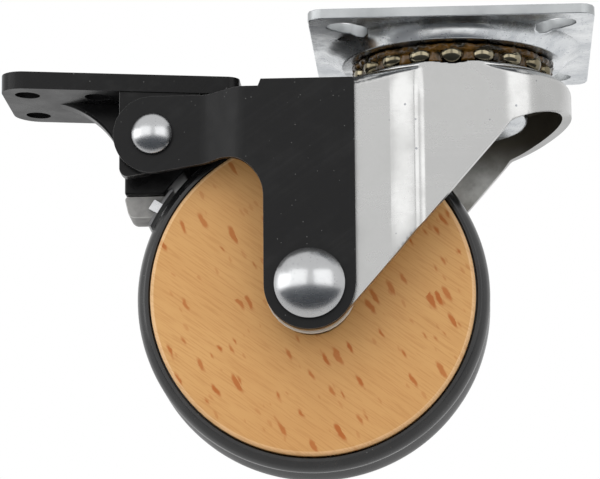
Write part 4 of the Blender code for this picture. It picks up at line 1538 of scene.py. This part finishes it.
@dataclass
class Wheel:
    """Tyre and wood faces, turned finely about the axle."""

    axle: Vector
    materials: dict[str, Material]
    tyre_r: float = 37.5 * MM
    tyre_half: float = 9.7 * MM
    bead_y: float = 6.6 * MM
    bead_from: float = 0.7
    groove: float = 1.4 * MM
    groove_shares: Triple = (0.9, 0.72, 0.15)
    line_y: Point = (0.9 * MM, 1.7 * MM)
    shoulder: Point = (0.55 * MM, 0.55)
    brow: Point = (1.35 * MM, 0.35 * MM)
    flank_in: float = 1.75 * MM
    flank_rounds: Point = (0.35 * MM, 0.25 * MM)
    wood_r: float = 34.5 * MM
    wood_half: float = 11.0 * MM
    wood_t: float = 3.5 * MM
    wood_edge: float = 0.8 * MM
    wood_rounds: Point = (0.3 * MM, 0.4 * MM)
    seat: float = 0.3 * MM
    hub_boss_r: float = 8.4 * MM
    steps: int = 192

    def build(self) -> None:
        """Build the tyre and both faces."""
        self.tyre()
        self.wood_face("wood_face_near", -1)
        self.wood_face("wood_face_far", 1)

    def tyre_section(self) -> list[Point]:
        """Draw half the tyre's section, from the groove in the tread to the wood's seat.

        Returns:
            Points of radius and distance from the middle.
        """
        r, half, bead = self.tyre_r, self.tyre_half, self.bead_y
        at_line, off_line, rising = (r - self.groove * share for share in self.groove_shares)
        tread = smooth_path(
            [
                (r - self.groove, 0.0), (at_line, self.line_y[0]), (off_line, self.line_y[1]),
                (rising, bead * self.bead_from), (r, bead),
                (r - self.shoulder[0], bead + (half - bead) * self.shoulder[1]),
                (r - self.brow[0], half - self.brow[1]),
            ]
        )
        lip = self.wood_r + self.seat
        inside = self.wood_half - self.wood_t - self.seat
        flank = filleted(
            [
                (*tread[-1], 0.0), (r - self.flank_in, half, self.flank_rounds[0]),
                (lip, half, self.flank_rounds[1]), (lip, inside, 0.0), (self.wood_r - self.seat, inside, 0.0),
            ]
        )
        return [(min(x, r), y) for x, y in tread + flank[1:]]

    def tyre(self) -> None:
        """Turn the tyre: two tread beads, a groove between them, a lip by each face and a painted highlight
        ring by the groove.
        """
        section = self.tyre_section()
        profile = section + [(x, -y) for x, y in reversed(section) if y > MERGE]
        bm = lathe(profile, self.axle, self.steps)
        # Faces of a thin ring by the groove take the lighter finish, a painted highlight.
        highlight_faces = []
        for face in bm.faces:
            spot = face.calc_center_median() - self.axle
            if self.line_y[0] < abs(spot.y) < self.line_y[1] and spot.length > self.wood_r + self.seat:
                highlight_faces.append(face)
        mark(highlight_faces)
        skin(bm, "tyre", Body.WHEEL, Slot.TYRE, *pick(self.materials, "tyre", "tyre_groove_highlight"))

    def wood_face(self, node: str, side: int) -> None:
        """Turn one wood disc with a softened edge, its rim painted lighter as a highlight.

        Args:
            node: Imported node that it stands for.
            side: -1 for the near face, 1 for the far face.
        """
        bore = self.hub_boss_r + self.seat
        inner, outer = self.wood_half - self.wood_t, self.wood_half
        corners = [
            (bore, inner, 0.0), (self.wood_r, inner, self.wood_rounds[0]),
            (self.wood_r, outer, self.wood_edge), (bore, outer, self.wood_rounds[1]),
        ]
        bm = lathe([(r, side * y) for r, y in filleted(corners, 5, closed=True)], self.axle, self.steps)
        # Faces of the rounded rim take the lighter beech, a painted highlight.
        edge = []
        for face in bm.faces:
            spot = face.calc_center_median() - self.axle
            if abs(spot.y) > outer - self.wood_edge and spot.xz.length > self.wood_r - self.wood_edge:
                edge.append(face)
        mark(edge)
        skin(bm, node, Body.WHEEL, Slot.BEECH, *pick(self.materials, "beech", "beech_edge_highlight"))


@dataclass
class Rivets:
    """Axle bolt, its cap and the pedal's pin, with their domed heads."""

    axle: Vector
    pivot: Vector
    material: Material
    axle_r: float = 4.0 * MM
    axle_dome_r: float = 7.4 * MM
    axle_dome_h: float = 4.0 * MM
    pin_r: float = 2.5 * MM
    pin_dome_r: float = 4.4 * MM
    pin_dome_h: float = 2.6 * MM
    rim: float = 0.45 * MM
    cap_skin: float = 1.2 * MM
    seat: float = 0.3 * MM
    bracket_y: float = 22.4 * MM
    lobe_y: float = 16.7 * MM
    dome_cuts: int = 14
    steps: int = 96

    def build(self) -> None:
        """Build the axle bolt, its cap and the pedal's pin."""
        base = self.bracket_y + self.seat
        roof = base + self.axle_dome_h - self.cap_skin
        tip = self.seat - roof
        dome = self.dome(self.axle_dome_r, self.axle_dome_h, base)
        bolt = [(0.0, tip), (self.axle_r, tip), (self.axle_r, base)] + dome
        self.turn([(r, -h) for r, h in bolt], self.axle, "axle_bolt")
        bore = self.axle_r + self.seat / 2
        self.turn([(0.0, roof), (bore, roof), (bore, base)] + dome, self.axle, "axle_cap")
        base = self.lobe_y + self.seat
        head = [(self.pin_r, base)] + self.dome(self.pin_dome_r, self.pin_dome_h, base)
        self.turn([(r, -h) for r, h in reversed(head)] + head, self.pivot, "pedal_pin")

    def dome(self, radius: float, height: float, base: float) -> list[Point]:
        """Draw a domed head's profile from its rim to its crown.

        Args:
            radius: Radius of the head.
            height: Height of the head.
            base: Where it sits along the axis.

        Returns:
            Points of radius and height.
        """
        rise = height - self.rim
        sphere = (radius**2 + rise**2) / (2 * rise)
        widest = math.asin(radius / sphere)
        foot = base + height - sphere
        path = [(radius - self.rim / 3, base), (radius, base + self.rim / 3)]
        for i in range(self.dome_cuts):
            angle = widest * (1 - i / self.dome_cuts)
            path.append((sphere * math.sin(angle), foot + sphere * math.cos(angle)))
        return path + [(0.0, base + height)]

    def turn(self, profile: list[Point], centre: Vector, node: str) -> None:
        """Turn one rivet and publish it."""
        bm = lathe(profile, centre, self.steps, closed=False)
        skin(bm, node, Body.SWIVEL, Slot.CHROME, self.material)


@dataclass
class BallRace:
    """Steel balls of the upper race and the grease between them."""

    materials: dict[str, Material]
    count: int = 18
    ring_r: float = 18.8 * MM
    ball_r: float = 2.75 * MM
    ball_cuts: tuple[int, int] = (32, 18)
    level: float = -7.4 * MM
    grease_half_h: float = 1.75 * MM
    grease_inner: float = 16.4 * MM
    grease_foot: float = 20.0 * MM
    grease_brow: float = 21.6 * MM
    grease_rounds: Triple = (0.6 * MM, 0.5 * MM, 0.4 * MM)
    grease_steps: int = 480
    brow_z: float = -7.0 * MM
    swell: float = 0.7 * MM
    swell_scale: float = 420.0

    def build(self) -> None:
        """Build all balls as one piece and the grease as another."""
        self.balls()
        self.grease()

    def balls(self) -> None:
        """Set the balls out round the race."""
        bm = bmesh.new()
        round_cuts, up_cuts = self.ball_cuts
        for i in range(self.count):
            turn = 2 * math.pi * (i + 0.5) / self.count
            spot = (self.ring_r * math.cos(turn), self.ring_r * math.sin(turn), self.level)
            place = Matrix.Translation(spot)
            bmesh.ops.create_uvsphere(
                bm, u_segments=round_cuts, v_segments=up_cuts, radius=self.ball_r, matrix=place
            )
        nodes = [f"race_ball_{i + 1:02d}" for i in range(self.count)]
        publish(bm, "race_balls", Body.BALL_RING, Slot.STEEL, nodes, self.materials["oiled_steel"])

    def grease(self) -> None:
        """Turn the band of grease and swell its outer side unevenly."""
        low, high = self.level - self.grease_half_h, self.level + self.grease_half_h
        wide, brow, tight = self.grease_rounds
        corners = [
            (self.grease_inner, low, wide), (self.grease_foot, low, wide),
            (self.grease_foot, self.brow_z, tight), (self.grease_brow, self.brow_z, wide),
            (self.grease_brow, high, brow), (self.grease_inner, high, wide),
        ]
        bm = lathe(filleted(corners, 4, closed=True), Vector(), self.grease_steps, Axis.Z)
        for vert in bm.verts:
            if vert.co.to_2d().length > self.ring_r:
                swell = noise.fractal(vert.co * self.swell_scale, 1.0, 2.0, 3) * self.swell
                vert.co += Vector((vert.co.x, vert.co.y, 0.0)).normalized() * swell
        publish(bm, "race_grease", Body.BALL_RING, Slot.STEEL, (), self.materials["grease"])


@dataclass(frozen=True)
class Lamp:
    """Square soft lamp."""

    name: str
    spot: Triple
    size: float
    power: float
    mirrored: bool = True

    def build(self, target: Vector) -> None:
        """Hang the lamp and point it at a target.

        Args:
            target: Point that it faces.
        """
        light = bpy.data.lights.new(self.name, "AREA")
        light.shape = "SQUARE"
        light.size = self.size
        light.energy = self.power
        holder = bpy.data.objects.new(self.name, light)
        aim = (target - Vector(self.spot)).to_track_quat("-Z", "Y").to_matrix().to_4x4()
        holder.matrix_world = Matrix.Translation(self.spot) @ aim
        holder.visible_glossy = self.mirrored
        bpy.context.scene.collection.objects.link(holder)


@dataclass
class Studio:
    """Floor, light and camera."""

    floor_z: float
    floor_half: float = 3.0
    floor_grey: Triple = (0.86, 0.86, 0.86)
    floor_glow: float = 0.7
    room_light: float = 0.43
    card_spot: Point = (-0.03, -0.45)
    card_half: Point = (0.40, 0.413)
    card_lift: float = 1.0 * MM
    card_colour: Triple = (0.09, 0.10, 0.115)
    card_roughness: float = 0.9
    target: Triple = (-0.03, 0.0, -0.05)
    focal_px: float = 3310.29
    width_px: int = 600
    sensor: float = 36.0
    place: Triple = (4.466 * MM, -696.445 * MM, -189.263 * MM)
    yaw: float = math.radians(-3.115)
    pitch: float = math.radians(11.851)
    roll: float = math.radians(-0.438)

    def build(self) -> None:
        """Set up everything that isn't the castor."""
        self.camera()
        self.world()
        self.floor()
        self.dark_card()
        self.lamps()
        bpy.context.scene.view_settings.view_transform = "Standard"

    def camera(self) -> None:
        """Stand the camera where the photograph was taken from."""
        cos_p = math.cos(self.pitch)
        ahead = Vector((math.sin(self.yaw) * cos_p, math.cos(self.yaw) * cos_p, math.sin(self.pitch)))
        right = Vector((math.cos(self.yaw), -math.sin(self.yaw), 0.0))
        up = right.cross(ahead)
        cos_r, sin_r = math.cos(self.roll), math.sin(self.roll)
        side = right * cos_r + up * sin_r
        top = up * cos_r - right * sin_r
        camera = bpy.data.cameras.new("photo_camera")
        camera.sensor_fit = "HORIZONTAL"
        camera.sensor_width = self.sensor
        camera.lens = self.focal_px / self.width_px * self.sensor
        camera.clip_start = 0.01
        camera.clip_end = 20.0
        holder = bpy.data.objects.new("photo_camera", camera)
        facing = Matrix((side, top, -ahead)).transposed().to_4x4()
        holder.matrix_world = Matrix.Translation(self.place) @ facing
        bpy.context.scene.collection.objects.link(holder)
        bpy.context.scene.camera = holder

    def seen_white(self, net: Net) -> Any:
        """Tell the rays that see the background from the others.

        Args:
            net: Nodes of the material or the world.

        Returns:
            A socket that is 1 for camera, glossy and transmission rays.
        """
        light = net.add("LightPath").outputs
        seen = net.work_out("MAXIMUM", light["Is Camera Ray"], light["Is Glossy Ray"])
        return net.work_out("MAXIMUM", seen, light["Is Transmission Ray"])

    def world(self) -> None:
        """White background that lights the castor at a plain level."""
        world = bpy.data.worlds.new("studio")
        world.use_nodes = True
        net = Net(world.node_tree)
        back = world.node_tree.nodes["Background"].inputs
        back["Color"].default_value = (1.0, 1.0, 1.0, 1.0)
        feeds = {"Value": self.seen_white(net), "To Min": self.room_light, "To Max": 1.0}
        net.link(net.add("MapRange", feeds).outputs["Result"], back["Strength"])
        bpy.context.scene.world = world

    def card(self, name: str, centre: Triple, half: Point) -> tuple[bpy.types.Object, Net]:
        """Lay a flat card with a material of its own.

        Args:
            name: Name of the card and of its material.
            centre: Where its middle lies.
            half: Half its size along X and Y.

        Returns:
            The card and its material's nodes.
        """
        bm = bmesh.new()
        place = Matrix.Translation(centre) @ Matrix.Diagonal((*half, 1.0, 1.0))
        bmesh.ops.create_grid(bm, x_segments=1, y_segments=1, size=1.0, matrix=place)
        mesh = bpy.data.meshes.new(name)
        bm.to_mesh(mesh)
        bm.free()
        material = bpy.data.materials.new(name)
        material.use_nodes = True
        mesh.materials.append(material)
        card = bpy.data.objects.new(name, mesh)
        bpy.context.scene.collection.objects.link(card)
        card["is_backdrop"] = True
        return card, Net(material.node_tree)

    def floor(self) -> None:
        """Pale floor under the wheel, which shows only from above."""
        net = self.card("floor", (0.0, 0.0, self.floor_z), (self.floor_half, self.floor_half))[1]
        nodes = net.tree.nodes
        nodes.remove(nodes["Principled BSDF"])
        matt = net.add("BsdfDiffuse", {"Color": (*self.floor_grey, 1.0)}).outputs[0]
        glow = net.add("Emission", {"Color": (1.0, 1.0, 1.0, 1.0), "Strength": 1.0}).outputs[0]
        share = net.times(self.seen_white(net), self.floor_glow)
        pale = net.add("MixShader", {0: share, 1: matt, 2: glow}).outputs[0]
        clear = net.add("BsdfTransparent").outputs[0]
        below = net.add("NewGeometry").outputs["Backfacing"]
        surface = net.add("MixShader", {0: below, 1: pale, 2: clear}).outputs[0]
        net.link(surface, nodes["Material Output"].inputs["Surface"])

    def dark_card(self) -> None:
        """Dark card in front, low down, that only reflections see."""
        card, net = self.card("dark_card", (*self.card_spot, self.floor_z + self.card_lift), self.card_half)
        sockets = net.tree.nodes["Principled BSDF"].inputs
        sockets["Base Color"].default_value = (*self.card_colour, 1.0)
        sockets["Roughness"].default_value = self.card_roughness
        card.visible_camera = False
        card.visible_diffuse = False
        card.visible_shadow = False
        card.visible_transmission = False

    def lamps(self) -> None:
        """Large soft lamps: one above, which reflections don't see, and three at the sides."""
        lamps = (
            Lamp("lamp_top", (-0.15, -0.55, 0.75), 0.9, 4.2, mirrored=False),
            Lamp("lamp_right", (0.50, -0.75, 0.16), 0.8, 1.95),
            Lamp("lamp_left", (-0.50, -0.75, 0.16), 0.8, 1.9),
            Lamp("lamp_far_left", (-0.95, -0.30, 0.10), 0.6, 2.0),
        )
        for lamp in lamps:
            lamp.build(Vector(self.target))


def middle(node: str) -> Vector:
    """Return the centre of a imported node's box."""
    low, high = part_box(node)
    return (Vector(low) + Vector(high)) / 2


def main() -> None:
    """Build the castor piece by piece, then the studio round it."""
    logging.basicConfig(level=logging.INFO, format="%(name)s %(message)s")
    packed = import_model()["nodes"]
    cad_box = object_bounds()
    axle = middle("tyre")
    pivot = middle("pedal_pin")
    materials = Finishes(axle).build()
    PlainPieces(packed, materials).build()
    BrakeBracket(axle, pivot, materials["black_paint"], materials["painted_edge_highlight"]).build()
    Fork(axle, materials["chrome"], materials["chrome_inside_shaded"]).build()
    Pedal(axle, pivot, materials).build()
    Wheel(axle, materials).build()
    Rivets(axle, pivot, materials["bright_dome"]).build()
    BallRace(materials).build()
    Studio(floor_z=cad_box[0][2] - 0.1 * MM).build()


if __name__ == "__main__":
    main()
